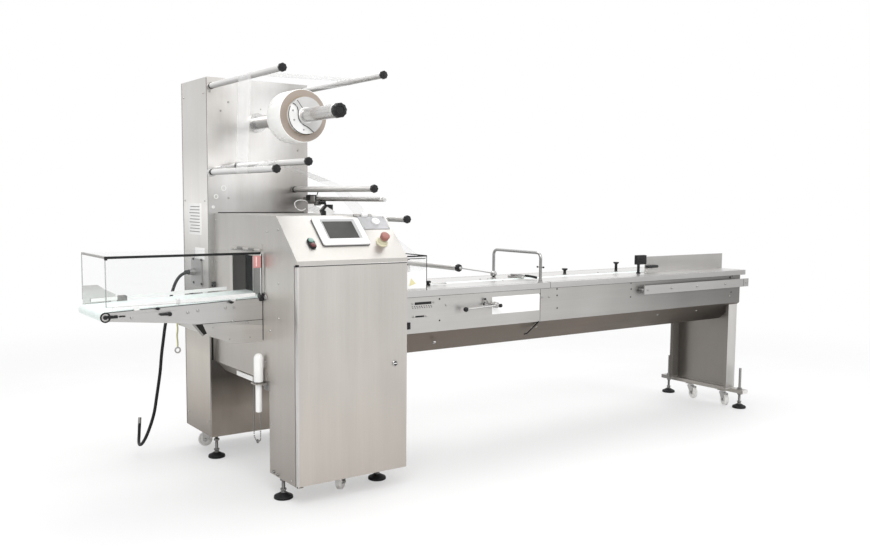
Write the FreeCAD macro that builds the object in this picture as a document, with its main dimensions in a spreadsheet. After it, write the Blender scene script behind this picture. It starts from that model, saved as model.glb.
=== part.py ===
"""Horizontal flow wrapper: infeed conveyor, film unwind, sealing housing and discharge conveyor.

Machine coordinates, in millimetres: X runs against the product flow, from the discharge end (low X) to the
infeed end (high X), Y runs from the operator's side to the rear, Z is up from the floor. X = 0 is the left face
of the control cabinet and Y = 0 is the front of its door. Every finished part is then shifted so that the
origin lies on the floor under the middle of the machine.
"""
import FreeCAD, Part
import Sketcher
import math
import os

Vector = FreeCAD.Vector

DIMENSIONS = {
    # sheet metal and fits
    "sheet": 2,
    "thick_sheet": 4,
    "seat_gap": 0.3,
    "running_play": 0.05,
    # control cabinet
    "cabinet_width": 524,
    "cabinet_depth": 265,
    "cabinet_floor": 87,
    "lip_low": 988,
    "lip_top": 1006,
    "panel_run": 185,
    "housing_top": 1182,
    "door_depth": 20,
    "door_gap": 5,
    "pivot_inset": 12,
    "pivot_radius": 4,
    "pivot_length": 16,
    # rear column
    "column_overhang": 25,
    "column_width": 517,
    "column_front": 855,
    "column_back": 1190,
    "column_floor": 111,
    "column_top": 1812,
    "plate_thickness": 10,
    # sealing housing
    "wall_low": 480,
    "base_top": 790,
    "hopper_low": 430,
    "hopper_inset": 44,
    "tunnel_front": 330,
    "tunnel_back": 642,
    "tunnel_low": 795,
    "tunnel_top": 1007,
    # touch screen and buttons on the sloping panel
    "screen_left": 152,
    "screen_width": 220,
    "screen_low": -48,
    "screen_height": 152,
    "screen_thickness": 12,
    "glass_left": 48,
    "glass_low": 43,
    "glass_width": 140,
    "glass_height": 98,
    "stop_inset": 89,
    "stop_up": -36,
    "stop_radius": 20,
    "stop_travel": 4,
    "button_across": 99,
    "button_up": -35,
    "button_radius": 16,
    "button_pitch": 26,
    "panel_plate_inset": 149,
    "panel_plate_width": 142,
    "panel_plate_height": 84,
    "socket_inset": 61,
    "socket_drop": 27,
    "socket_radius": 17.5,
    # levelling feet and casters
    "pad_radius": 40,
    "pad_height": 12,
    "stem_radius": 8,
    "wheel_radius": 35,
    "wheel_width": 24,
    "wheel_clearance": 3,
    "caster_trail": 28,
    "fork_thickness": 3,
    "axle_radius": 5,
    "swivel_radius": 18,
    # film unwind and idler rollers
    "reel_across": 222,
    "reel_share": 0.68413,
    "reel_radius": 115,
    "core_radius": 80,
    "film_front": 370,
    "film_width": 130,
    "film_thickness": 0.6,
    "unwind_radius": 25,
    "unwind_front": 70,
    "sleeve_radius": 29,
    "knob_radius": 30,
    "knob_length": 30,
    "idler_front": 111,
    "idler_radius": 13.5,
    "idler_shaft": 6,
    "cap_radius": 16.5,
    "cap_length": 16,
    "boss_radius": 20,
    "boss_length": 8,
    "arm_gap": 35,
    "arm_thickness": 20,
    "bracket_reach": 64,
    "former_reach": 357,
    "former_rise": 98,
    "shoe_reach": 192,
    "shoe_rise": 30,
    "shoe_radius": 12,
    "web_reach": 76,
    "sensor_across": 465,
    "sensor_rise": 68,
    "sensor_rod": 8,
    # forming box and its guard
    "former_left": 36,
    "former_bend": 176,
    "former_right": 326,
    "former_lip": 18,
    "former_height": 88,
    "former_sheet": 3,
    "former_guard_reach": 206,
    "former_guard_back": 530,
    "former_guard_height": 159,
    # discharge conveyor
    "nose_reach": 652,
    "nose_height": 793,
    "nose_radius": 20,
    "belt_inside": 60,
    "belt_thickness": 2,
    "discharge_slope": 0.0353,
    "discharge_front": 322,
    "discharge_back": 650,
    "belt_margin": 6,
    "plate_low": 716,
    "plate_nose_low": 772,
    "tray_low": 646,
    "tray_flat": 140,
    "tray_knee": 250,
    "tray_knee_height": 696,
    "tray_reach": 270,
    # discharge guard
    "guard_clearance": 5,
    "guard_low": 832,
    "guard_height": 195,
    "hinge_reach": 8,
    "hinge_radius": 5,
    "hinge_pin": 2,
    "knuckle_length": 60,
    # infeed conveyor
    "infeed_front": 150,
    "infeed_back": 640,
    "infeed_top": 813,
    "infeed_side_low": 647,
    "infeed_keel": 533,
    "keel_front": 293,
    "keel_back": 497,
    "drive_end": 1426,
    "infeed_end": 3048,
    "rail_end": 3093,
    "rail_joint": 1490,
    "rail_width": 30,
    "deck_top": 842,
    "deck_thickness": 6,
    "belt_slot": 60,
    # fence, hoop, knobs and side bar of the infeed
    "fence_left": 2385,
    "fence_front": 318,
    "fence_sheet": 3,
    "fence_foot": 32,
    "fence_height": 92,
    "knob_line": 500,
    "knob_stem": 8,
    "knob_head": 17,
    "clamp_across": 2310,
    "clamp_front": 290,
    "clamp_rise": 50,
    "clamp_height": 54,
    "hoop_across": 1440,
    "hoop_front": 168,
    "hoop_back": 540,
    "hoop_rise": 148,
    "hoop_rod": 7.5,
    "hoop_bend": 28,
    "hoop_ball": 17.3,
    "bar_left": 2156,
    "bar_right_reach": 35,
    "bar_stand": 29,
    "bar_thickness": 6,
    "bar_low_drop": 68,
    "bar_top_drop": 20,
    # leg
    "leg_front": 165,
    "leg_back": 600,
    "leg_flange": 80,
    "leg_lip": 20,
    "leg_low": 115,
    "bar_front": 82,
    "bar_back": 707,
    "bar_height": 22,
    "bar_width": 50,
    "rod_front": 122,
    "rod_back": 666,
    "rod_top": 245,
    # crank lever
    "crank_across": 1137,
    "crank_height": 752,
    "crank_radius": 204,
    "crank_ball": 20,
    # pull handle and cable gland
    "handle_across": -25,
    "handle_front": 317,
    "handle_shelf": 466,
    "handle_low": 342,
    "handle_radius": 13.5,
    "handle_grip": 19,
    "gland_front_reach": 100,
    "gland_back_reach": 39,
    "gland_half": 66,
    "gland_line": 1047,
    "gland_height": 893,
}


class Length:
    """A number together with the spreadsheet formula that gives it."""

    def __init__(self, value, formula):
        self.value = float(value)
        self.formula = formula

    def __add__(self, other):
        other = length(other)
        return Length(self.value + other.value, "(%s + %s)" % (self.formula, other.formula))

    def __sub__(self, other):
        other = length(other)
        return Length(self.value - other.value, "(%s - %s)" % (self.formula, other.formula))

    def __mul__(self, other):
        other = length(other)
        return Length(self.value * other.value, "(%s * %s)" % (self.formula, other.formula))

    def __truediv__(self, other):
        other = length(other)
        return Length(self.value / other.value, "(%s / %s)" % (self.formula, other.formula))

    def __radd__(self, other):
        return length(other) + self

    def __rsub__(self, other):
        return length(other) - self

    def __rmul__(self, other):
        return length(other) * self

    def __neg__(self):
        return length(0) - self

    def root(self):
        return Length(math.sqrt(self.value), "sqrt(%s)" % self.formula)


def length(value):
    if isinstance(value, Length):
        return value
    return Length(value, "%.6f" % value)


class Sizes:
    """The spreadsheet's cells as Length values, one attribute for each alias."""


doc = FreeCAD.newDocument("FlowWrapper")
sheet = doc.addObject("Spreadsheet::Sheet", "Dimensions")
d = Sizes()
for row, (alias, number) in enumerate(DIMENSIONS.items(), 1):
    sheet.set("A%d" % row, alias)
    sheet.set("B%d" % row, str(number))
    sheet.setAlias("B%d" % row, alias)
    setattr(d, alias, Length(number, "Dimensions." + alias))
doc.recompute()

# The machine's overall middle: from the belt's nose to the end of the infeed rails, door to column back.
MIDDLE_X = (d.rail_end - d.nose_reach - d.nose_radius) / 2
MIDDLE_Y = d.column_back / 2

DIRECTIONS = {
    "x": FreeCAD.Rotation(Vector(0, 1, 0), 90),
    "y": FreeCAD.Rotation(Vector(1, 0, 0), -90),
    "z": FreeCAD.Rotation(),
}
PLACES = {}
PARTS = []


def bind(item, prop, value):
    item.setExpression(prop, length(value).formula)


def place(item, at, rotation=None):
    """Puts an object at a point given in Length values, and keeps the point for part()."""
    if rotation is not None:
        item.Placement = FreeCAD.Placement(Vector(), rotation)
    PLACES[item.Name] = at
    for axis, value in zip("xyz", at):
        bind(item, ".Placement.Base." + axis, value)
    return item


def part(label, item):
    """Names a finished part and shifts it from machine coordinates to the origin on the floor."""
    at = PLACES.get(item.Name, (0, 0, 0))
    place(item, (at[0] - MIDDLE_X, at[1] - MIDDLE_Y, at[2]))
    item.Label = label
    PARTS.append(item)
    return item


def box(low, high):
    item = doc.addObject("Part::Box", "Block")
    for prop, start, end in zip(("Length", "Width", "Height"), low, high):
        bind(item, prop, end - start)
    return place(item, low)


def cylinder(at, direction, radius, size, angle=360, turn=0):
    """A cylinder from a point along +X, +Y or +Z; angle makes a sector and turn rolls it about its axis."""
    item = doc.addObject("Part::Cylinder", "Round")
    bind(item, "Radius", radius)
    bind(item, "Height", size)
    item.Angle = angle
    return place(item, at, DIRECTIONS[direction] * FreeCAD.Rotation(Vector(0, 0, 1), turn))


def cone(at, direction, radius, end_radius, size):
    item = doc.addObject("Part::Cone", "Taper")
    bind(item, "Radius1", radius)
    bind(item, "Radius2", end_radius)
    bind(item, "Height", size)
    return place(item, at, DIRECTIONS[direction])


def ball(at, radius):
    item = doc.addObject("Part::Sphere", "Ball")
    bind(item, "Radius", radius)
    return place(item, at, FreeCAD.Rotation(Vector(0, 0, 1), 180))


def bend(at, start, end, radius, rod):
    """A quarter turn of round rod about a centre, from the start direction to the end direction."""
    item = doc.addObject("Part::Torus", "Bend")
    bind(item, "Radius1", radius)
    bind(item, "Radius2", rod)
    item.Angle3 = 90
    return place(item, at, FreeCAD.Rotation(start, end, start.cross(end), "XYZ"))


def join(*items):
    """One node from several solids: those that touch are fused, the others stay separate solids."""
    if len(items) == 1:
        return items[0]
    item = doc.addObject("Part::MultiFuse", "Joined")
    item.Shapes = list(items)
    item.Refine = True
    return item


def cut(base, *tools):
    item = doc.addObject("Part::Cut", "Trimmed")
    item.Base = base
    item.Tool = join(*tools)
    item.Refine = True
    return item


def tube(at, direction, radius, bore, size):
    return cut(cylinder(at, direction, radius, size), cylinder(at, direction, bore, size))


def sketch_loop(sketch, points):
    """A closed polygon whose corners are held to the sketch's origin by the sheet's formulas."""
    first = sketch.GeometryCount
    corners = [Vector(length(a).value, length(b).value, 0) for a, b in points]
    count = len(corners)
    for index in range(count):
        sketch.addGeometry(Part.LineSegment(corners[index], corners[(index + 1) % count]))
    for index in range(count):
        following = first + (index + 1) % count
        sketch.addConstraint(Sketcher.Constraint("Coincident", first + index, 2, following, 1))
    for index, corner in enumerate(points):
        for kind, value in zip(("DistanceX", "DistanceY"), corner):
            number = length(value).value
            held = sketch.addConstraint(Sketcher.Constraint(kind, -1, 1, first + index, 1, number))
            sketch.setExpression("Constraints[%d]" % held, length(value).formula)


def profile(plane, loops, start, end):
    """A padded sketch: XY from z start to end, XZ from y start to end, or YZ from x start to end."""
    body = doc.addObject("PartDesign::Body", "Profile")
    sketch = body.newObject("Sketcher::SketchObject", "Outline")
    origin_plane = [item for item in body.Origin.OriginFeatures if item.Role == plane + "_Plane"][0]
    sketch.AttachmentSupport = [(origin_plane, "")]
    sketch.MapMode = "FlatFace"
    for points in loops:
        sketch_loop(sketch, points)
    pad = body.newObject("PartDesign::Pad", "Pad")
    pad.Profile = sketch
    bind(pad, "Length", end - start)
    body.Tip = pad
    places = {"XY": (0, 0, start), "XZ": (0, end, 0), "YZ": (start, 0, 0)}
    return place(body, places[plane])


def feature(shape, at=(0, 0, 0)):
    item = doc.addObject("Part::Feature", "Form")
    item.Shape = shape
    return place(item, at)


# ---------------------------------------------------------------------------------------------------------
# control cabinet, its door and the operator panel

PANEL_RISE = d.housing_top - d.lip_top
PANEL_LENGTH = (d.panel_run * d.panel_run + PANEL_RISE * PANEL_RISE).root()
PANEL_TURN = FreeCAD.Rotation(Vector(1, 0, 0), math.degrees(math.atan2(PANEL_RISE.value, d.panel_run.value)))
DOOR_LOW = d.cabinet_floor + d.door_gap
DOOR_HIGH = d.lip_low - d.door_gap
SHELL_FRONT = d.door_depth + d.door_gap
PANEL_MIDDLE = PANEL_LENGTH / 2
STOP_ACROSS = d.cabinet_width - d.stop_inset


def on_panel(across, up, out=0):
    """A point on the sloping panel: across from the left, up from its middle line, and out of its face."""
    run = d.panel_run / PANEL_LENGTH
    rise = PANEL_RISE / PANEL_LENGTH
    along = PANEL_MIDDLE + up
    return (length(across), run * along - rise * out, d.lip_top + rise * along + run * out)


def panel_block(left, low, width, height, thickness, out=0):
    item = doc.addObject("Part::Box", "PanelBlock")
    bind(item, "Length", width)
    bind(item, "Width", height)
    bind(item, "Height", thickness)
    return place(item, on_panel(left, low, out), PANEL_TURN)


def panel_round(across, up, radius, thickness, out=0):
    item = doc.addObject("Part::Cylinder", "PanelRound")
    bind(item, "Radius", radius)
    bind(item, "Height", thickness)
    return place(item, on_panel(across, up, out), PANEL_TURN)


def control_cabinet():
    back = d.cabinet_depth
    outline = [(SHELL_FRONT, d.cabinet_floor), (back, d.cabinet_floor), (back, d.housing_top),
               (d.panel_run, d.housing_top), (0, d.lip_top), (0, d.lip_low), (SHELL_FRONT, d.lip_low)]
    outer = profile("YZ", [outline], 0, d.cabinet_width)
    wall = d.sheet
    inside = [(0, d.cabinet_floor + wall), (back - wall, d.cabinet_floor + wall),
              (back - wall, d.housing_top - wall), (d.panel_run + wall / 2, d.housing_top - wall),
              (wall, d.lip_top - wall / 2), (wall, d.lip_low + wall),
              (d.door_depth, d.lip_low + wall), (d.door_depth, d.lip_low - wall), (0, d.lip_low - wall)]
    hollow = profile("YZ", [inside], wall, d.cabinet_width - wall)
    pivot = (d.pivot_inset, d.door_depth / 2)
    lug_low = box((0, 0, d.cabinet_floor), (d.pivot_inset * 2, SHELL_FRONT, d.cabinet_floor + wall))
    pin_low = cylinder((pivot[0], pivot[1], d.cabinet_floor), "z", d.pivot_radius, d.pivot_length)
    pin_high = cylinder((pivot[0], pivot[1], d.lip_low - d.pivot_length), "z", d.pivot_radius,
                        d.pivot_length + wall)
    lug_high = box((0, 0, d.lip_low), (d.pivot_inset * 2, SHELL_FRONT, d.lip_low + wall))
    part("cabinet_shell", join(cut(outer, hollow), lug_low, pin_low, pin_high, lug_high))


def cabinet_door():
    low = (d.sheet, 0, DOOR_LOW)
    high = (d.cabinet_width - d.sheet, d.door_depth, DOOR_HIGH)
    wall = d.sheet
    hollow = box((low[0] + wall, wall, low[2] + wall), (high[0] - wall, high[1] + 1, high[2] - wall))
    tray = cut(box(low, high), hollow)
    pieces = [tray]
    bores = []
    for start in (DOOR_LOW, DOOR_HIGH - d.pivot_length):
        at = (d.pivot_inset, d.door_depth / 2, start)
        pieces.append(cylinder(at, "z", d.pivot_radius + 4, d.pivot_length))
        bores.append(cylinder(at, "z", d.pivot_radius + d.running_play, d.pivot_length))
    part("cabinet_door", cut(join(*pieces), *bores))


def touch_screen():
    frame = panel_block(d.screen_left, d.screen_low, d.screen_width, d.screen_height, d.screen_thickness)
    glass = (d.screen_left + d.glass_left, d.screen_low + d.glass_low)
    recess = 3
    well = panel_block(glass[0], glass[1], d.glass_width, d.glass_height, recess, d.screen_thickness - recess)
    part("touchscreen_frame", cut(frame, well))
    inset = d.seat_gap
    part("touchscreen_glass", panel_block(glass[0] + inset, glass[1] + inset, d.glass_width - inset * 2,
                                          d.glass_height - inset * 2, 2, d.screen_thickness - recess))


def emergency_stop():
    base_height = 12
    base = panel_round(STOP_ACROSS, d.stop_up, d.stop_radius + 6, 4)
    collar = panel_round(STOP_ACROSS, d.stop_up, d.stop_radius - 3, base_height)
    bore = panel_round(STOP_ACROSS, d.stop_up, 8 + d.running_play, base_height + 4)
    stop_base = cut(join(base, collar), bore)
    stem = panel_round(STOP_ACROSS, d.stop_up, 8, 24, d.stop_travel + 1)
    head = panel_round(STOP_ACROSS, d.stop_up, d.stop_radius, 9, base_height + d.stop_travel + 1)
    crown = doc.addObject("Part::Cone", "Crown")
    bind(crown, "Radius1", d.stop_radius)
    bind(crown, "Radius2", d.stop_radius - 6)
    bind(crown, "Height", 5)
    place(crown, on_panel(STOP_ACROSS, d.stop_up, base_height + d.stop_travel + 10), PANEL_TURN)
    part("emergency_button", join(stem, head, crown))
    return stop_base


def panel_fittings(stop_base):
    half = d.button_pitch / 2
    up = d.button_up
    plate = [panel_round(d.button_across, up - half, d.button_radius, 8),
             panel_round(d.button_across, up + half, d.button_radius, 8),
             panel_block(d.button_across - d.button_radius, up - half, d.button_radius * 2, d.button_pitch, 8)]
    caps = [panel_round(d.button_across, up + side * half, d.button_radius - 4, 6, 8) for side in (-1, 1)]
    part("panel_buttons", join(stop_base, *plate, *caps))
    low = PANEL_MIDDLE - d.panel_plate_height
    left = d.cabinet_width - d.panel_plate_inset
    plate = panel_block(left, low, d.panel_plate_width, d.panel_plate_height, 2)
    socket = d.cabinet_width - d.socket_inset
    up = PANEL_MIDDLE - d.socket_drop
    ring = cut(panel_round(socket, up, d.socket_radius, 8, 2),
               panel_round(socket, up, d.socket_radius - 5, 8, 2))
    plug = panel_block(left + 12, low + 55, 22, 16, 14, 2)
    part("panel_plate", join(plate, ring, plug))


# ---------------------------------------------------------------------------------------------------------
# rear column and sealing housing

COLUMN_LEFT = -d.column_overhang
COLUMN_RIGHT = d.column_width - d.column_overhang


def rear_column():
    back_of_plate = d.column_front + d.plate_thickness
    part("mounting_plate", box((COLUMN_LEFT, d.column_front, d.column_floor),
                               (COLUMN_RIGHT, back_of_plate, d.column_top)))
    part("column_housing", box((COLUMN_LEFT, back_of_plate, d.column_floor),
                               (COLUMN_RIGHT, d.column_back, d.column_top)))


def handle_bracket():
    """The angle on the left wall whose shelf holds the pull handle by its shoulder."""
    x = d.handle_across
    y = d.handle_front
    shelf = d.handle_shelf
    wall = d.sheet * 1.5
    bracket = join(box((x - 25, y - 25, shelf), (-wall, y + 25, shelf + d.thick_sheet)),
                   box((-wall, y - 25, shelf), (0, y + 25, d.wall_low + 50)))
    return cut(bracket, cylinder((x, y, shelf), "z", d.handle_radius + d.seat_gap, d.thick_sheet))


def sealing_housing():
    front = d.cabinet_depth
    back = d.column_front
    walls = []
    for left in (length(0), d.cabinet_width - d.sheet):
        wall = box((left, front, d.wall_low), (left + d.sheet, back, d.housing_top))
        opening = box((left, d.tunnel_front, d.tunnel_low), (left + d.sheet, d.tunnel_back, d.tunnel_top))
        walls.append(cut(wall, opening))
    hinge_z = HINGE_HEIGHT
    walls.append(box((-d.sheet, d.discharge_front, hinge_z - d.hinge_radius),
                     (0, d.discharge_back, hinge_z + 25)))
    walls.extend(fixed_knuckles())
    walls.append(handle_bracket())
    part("side_walls", join(*walls))
    part("housing_cover", box((d.sheet, front, d.housing_top - d.sheet),
                              (d.cabinet_width - d.sheet, back, d.housing_top)))
    left = d.sheet
    right = d.cabinet_width - d.sheet
    outline = [(left, d.base_top), (left, d.wall_low), (left + d.hopper_inset, d.hopper_low),
               (right - d.hopper_inset, d.hopper_low), (right, d.wall_low), (right, d.base_top)]
    part("sealing_base", profile("XZ", [outline], front, back))


# ---------------------------------------------------------------------------------------------------------
# levelling feet and casters

def levelling_foot(x, y, top):
    pad = cylinder((x, y, 0), "z", d.pad_radius, d.pad_height)
    dome = cone((x, y, d.pad_height), "z", d.pad_radius, d.stem_radius * 1.8, d.pad_height)
    stem = cylinder((x, y, d.pad_height * 2), "z", d.stem_radius, top - d.pad_height * 2)
    nut = cylinder((x, y, d.pad_height * 2 + 4), "z", d.stem_radius + 5, 10)
    return join(pad, dome, stem, nut)


def levelling_feet():
    leg_x = d.infeed_end - 3
    feet = [levelling_foot(x, d.cabinet_depth * 0.64, d.cabinet_floor) for x in (length(16), length(477))]
    for x, y in ((COLUMN_LEFT + 40, d.column_front + 44), (COLUMN_RIGHT - 40, d.column_front + 44),
                 (COLUMN_RIGHT - 40, d.column_back - 50)):
        feet.append(levelling_foot(x, y, d.column_floor))
    for y in (d.rod_front, d.rod_back):
        feet.append(levelling_foot(leg_x, y, d.rod_top))
    part("levelling_feet", join(*feet))


def caster(number, x, y, top, heading):
    """A swivel caster under a face at height top; heading is where its wheel trails, in degrees from +X."""
    plate_low = top - d.fork_thickness
    plate = box((x - 25, y - 25, plate_low), (x + 25, y + 25, top))
    axle_height = d.wheel_radius + d.wheel_clearance
    crown = d.wheel_radius * 2 + d.wheel_clearance + 3
    trail = d.caster_trail
    half = d.wheel_width / 2 + 1
    outer = half + d.fork_thickness
    swivel = cylinder((0, 0, crown), "z", d.swivel_radius, plate_low - d.seat_gap - crown)
    bridge = box((-d.swivel_radius, -outer, crown), (trail + 12, outer, crown + d.fork_thickness))
    pieces = [swivel, bridge]
    for side in (-outer, half):
        outline = [(-d.swivel_radius, crown), (trail - 10, axle_height - 8), (trail + 10, axle_height - 8),
                   (trail + 12, crown)]
        pieces.append(profile("XZ", [outline], side, side + d.fork_thickness))
    pieces.append(cylinder((trail, -outer, axle_height), "y", d.axle_radius, outer * 2))
    turn = FreeCAD.Rotation(Vector(0, 0, 1), heading)
    part("caster_fork_%d" % number, place(join(*pieces), (x, y, length(0)), turn))
    wheel = tube((trail, -d.wheel_width / 2, axle_height), "y", d.wheel_radius,
                 d.axle_radius + d.running_play, d.wheel_width)
    part("caster_wheel_%d" % number, place(wheel, (x, y, length(0)), turn))
    return plate


def casters():
    leg_x = d.infeed_end - 11
    bar_low = d.leg_low - d.bar_height
    plates = [caster(1, length(290), length(150), d.cabinet_floor, 220),
              caster(2, COLUMN_LEFT + 90, d.column_back - 92, d.column_floor, 150),
              caster(3, leg_x, d.rod_front + 114, bar_low, 242),
              caster(4, leg_x, d.rod_back - 186, bar_low, 250)]
    part("caster_plates", join(*plates))


# ---------------------------------------------------------------------------------------------------------
# film unwind, idler rollers and the web

# Idler rollers in the order that the film meets them: name, across, height, front end, back end, and the way
# the web turns round it (1 is counter-clockwise seen from the operator's side).
ARM_BACK = d.column_front - d.arm_gap
PLATE_RISE = d.column_top - d.housing_top
REEL_HEIGHT = d.housing_top + PLATE_RISE * d.reel_share
IDLERS = [
    ("upper_right", COLUMN_RIGHT - 28, d.column_top - 32, d.idler_front, d.column_front - 19, 1),
    ("upper_left", COLUMN_LEFT + 17, d.column_top - 42, d.idler_front, d.column_front - 19, 1),
    ("dancer_left", COLUMN_LEFT + 0, d.housing_top + PLATE_RISE * 0.3016, d.idler_front + 25, ARM_BACK - 30, 1),
    ("dancer_right", COLUMN_LEFT + 125, d.housing_top + PLATE_RISE * 0.3524, d.idler_front - 10,
     ARM_BACK - 30, -1),
    ("lower", COLUMN_RIGHT - 74, d.housing_top + PLATE_RISE * 0.1841, d.idler_front, d.column_front - 19, -1),
    ("bracket", d.cabinet_width + d.bracket_reach, d.housing_top - 16, d.idler_front, d.column_front - 19, 1),
    ("former", d.cabinet_width + d.former_reach, d.deck_top + d.former_rise, d.idler_front + 10,
     d.former_guard_back - 10, -1),
]
REEL_TURN = -1
SHOE = (d.cabinet_width + d.shoe_reach, d.deck_top + d.shoe_rise)
WEB_END = d.cabinet_width + d.web_reach


def idler_rollers():
    shafts = []
    caps = []
    for number, (name, x, z, front, back, turn) in enumerate(IDLERS, 1):
        roller = tube((x, front, z), "y", d.idler_radius, d.idler_shaft + d.running_play, back - front)
        part("roller_%d_%s" % (number, name), roller)
        seat = {"dancer_left": ARM_BACK - d.arm_thickness, "dancer_right": ARM_BACK - d.arm_thickness,
                "former": d.former_guard_back}.get(name, d.column_front)
        if name == "bracket":
            seat = d.column_front - d.seat_gap
        shafts.append(cylinder((x, front - 1, z), "y", d.idler_shaft, seat - front + 1))
        shafts.append(cylinder((x, seat - d.boss_length, z), "y", d.boss_radius - 6, d.boss_length))
        caps.append(cylinder((x, front - 1 - d.cap_length, z), "y", d.cap_radius, d.cap_length))
    bearing = tube((d.reel_across, d.column_front - 14, REEL_HEIGHT), "y", d.unwind_radius + 20,
                   d.unwind_radius + d.running_play, 14)
    part("roller_shafts", join(bearing, *shafts))
    return caps


def roller_brackets():
    """The dancer arm on its pivot, the arm that carries the bracket roller, and the former roller's stand."""
    arm_front = ARM_BACK - d.arm_thickness
    left, right = [(x, z) for name, x, z, front, back, turn in IDLERS if name.startswith("dancer")]
    arm = [cylinder((x, arm_front, z), "y", d.boss_radius, d.arm_thickness) for x, z in (left, right)]
    arm.append(profile("XZ", [[(left[0] + 3, left[1] - 15), (right[0] + 3, right[1] - 15),
                               (right[0] - 3, right[1] + 15), (left[0] - 3, left[1] + 15)]],
                       arm_front, ARM_BACK))
    arm.append(cylinder(((left[0] + right[0]) / 2, ARM_BACK, (left[1] + right[1]) / 2), "y", d.boss_radius,
                        d.arm_gap))
    inner = COLUMN_RIGHT + d.seat_gap
    roller = d.cabinet_width + d.bracket_reach
    plate = profile("XZ", [[(inner, d.housing_top + 6), (d.cabinet_width + 2, d.housing_top + 4),
                            (roller - 8, d.housing_top - 34), (roller + 18, d.housing_top - 22),
                            (roller + 12, d.housing_top + 4), (inner, d.housing_top + 58)]],
                    d.column_front - d.seat_gap, d.column_front + d.plate_thickness)
    former = d.cabinet_width + d.former_reach
    stand = box((former - 13, d.former_guard_back, d.deck_top),
                (former + 13, d.former_guard_back + 8, d.deck_top + d.former_rise + 18))
    rod = cylinder((d.sensor_across, 90, d.housing_top + d.sensor_rise), "y", d.sensor_rod,
                   d.column_front - 90)
    part("roller_brackets", join(join(*arm), plate, stand, rod))


def film_reel():
    x = d.reel_across
    z = REEL_HEIGHT
    back = d.film_front + d.film_width
    shaft = join(cylinder((x, d.film_front, z), "y", d.unwind_radius, d.column_front - 0.5 - d.film_front),
                 cylinder((x, d.unwind_front, z), "y", d.sleeve_radius, d.film_front - d.unwind_front - 8))
    neck = cylinder((x, d.film_front - 8, z), "y", d.unwind_radius, length(8))
    part("unwind_shaft", join(shaft, neck))
    part("shaft_knob", cylinder((x, d.unwind_front - d.knob_length, z), "y", d.knob_radius, d.knob_length))
    part("film_reel", tube((x, d.film_front, z), "y", d.reel_radius, d.core_radius, d.film_width))
    chuck = tube((x, d.film_front - 6, z), "y", d.core_radius - d.seat_gap, d.unwind_radius + d.seat_gap,
                 d.film_width + 6)
    part("core_chuck", cut(chuck, *chuck_splits(x, d.film_front - 6, z, back - d.film_front + 6)))


def chuck_splits(x, y, z, depth):
    """The S-shaped split between the two halves of the expanding chuck, as two half rings on one diameter."""
    slit = 1.5
    swing = (d.core_radius - d.unwind_radius) / 2 + 1
    offset = (d.core_radius + d.unwind_radius) / 2
    lean = math.radians(110)
    pieces = []
    for side in (1, -1):
        centre = (x + offset * side * math.cos(lean), y, z + offset * side * math.sin(lean))
        turn = -math.degrees(lean) + (0 if side > 0 else 180)
        outer = cylinder(centre, "y", swing + slit, depth, 180, turn)
        pieces.append(cut(outer, cylinder(centre, "y", swing - slit, depth)))
    return pieces


def web_path():
    """Centres, mid-film radii and turns of everything that the film passes, from the reel to the former."""
    lift = d.seat_gap + d.film_thickness / 2
    path = [(d.reel_across.value, REEL_HEIGHT.value, (d.reel_radius + lift).value, REEL_TURN)]
    for name, x, z, front, back, turn in IDLERS:
        path.append((x.value, z.value, (d.idler_radius + lift).value, turn))
    path.append((SHOE[0].value, SHOE[1].value, (d.shoe_radius + lift).value, -1))
    path.append((WEB_END.value, (SHOE[1] - d.shoe_radius - lift).value, 0.0, 1))
    return path


def web_edges(path, offset):
    """Tangent lines and roller arcs along the film, offset to one side of its middle."""
    angles = []
    for (x, z, radius, turn), (next_x, next_z, next_radius, next_turn) in zip(path, path[1:]):
        distance = math.hypot(next_x - x, next_z - z)
        lean = math.asin((turn * radius - next_turn * next_radius) / distance)
        angles.append(math.atan2(next_z - z, next_x - x) + lean)
    edges = []
    start = None
    for index, (x, z, radius, turn) in enumerate(path):
        reach = radius - turn * offset

        def on_roller(angle):
            side = angle - turn * math.pi / 2
            return Vector(x + reach * math.cos(side), 0, z + reach * math.sin(side))

        arrive = angles[max(index - 1, 0)]
        leave = angles[min(index, len(angles) - 1)]
        if index > 0:
            edges.append(Part.LineSegment(start, on_roller(arrive)).toShape())
        if 0 < index < len(path) - 1:
            swing = (turn * (leave - arrive)) % (2 * math.pi)
            middle = on_roller(arrive + turn * swing / 2)
            edges.append(Part.Arc(on_roller(arrive), middle, on_roller(leave)).toShape())
        start = on_roller(leave)
    return edges


def film_web():
    path = web_path()
    half = d.film_thickness.value / 2
    left = web_edges(path, half)
    right = web_edges(path, -half)
    ends = [Part.LineSegment(left[index].Vertexes[place_on].Point, right[index].Vertexes[place_on].Point)
            for index, place_on in ((0, 0), (-1, -1))]
    outline = Part.Wire(Part.__sortEdges__(left + right + [end.toShape() for end in ends]))
    web = Part.Face(outline).extrude(Vector(0, d.film_width.value, 0))
    part("film_web", feature(web, (length(0), d.film_front, length(0))))


def photo_sensor():
    x = d.sensor_across
    z = d.housing_top + d.sensor_rise
    clamp = box((x - 13, 640, z - 24), (x + 13, 668, z - d.sensor_rod - d.seat_gap))
    eye = box((x + 5, 600, z - 52), (x + 29, 640, z - 24))
    part("photo_sensor", join(clamp, eye, box((x + 5, 636, z - 28), (x + 13, 644, z - 18))))


# ---------------------------------------------------------------------------------------------------------
# discharge conveyor, tray and guard

HINGE_HEIGHT = d.guard_low + d.guard_height + 8
SLOPE_TURN = FreeCAD.Rotation(Vector(0, 1, 0), -math.degrees(math.atan(d.discharge_slope.value)))


def loop_solid(long, radius, front, back):
    """A slot-shaped block between two rollers, from the nose roller's axis along +X."""
    width = back - front
    return join(box((0, 0, -radius), (long, width, radius)),
                cylinder((0, 0, 0), "y", radius, width),
                cylinder((long, 0, 0), "y", radius, width))


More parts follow.
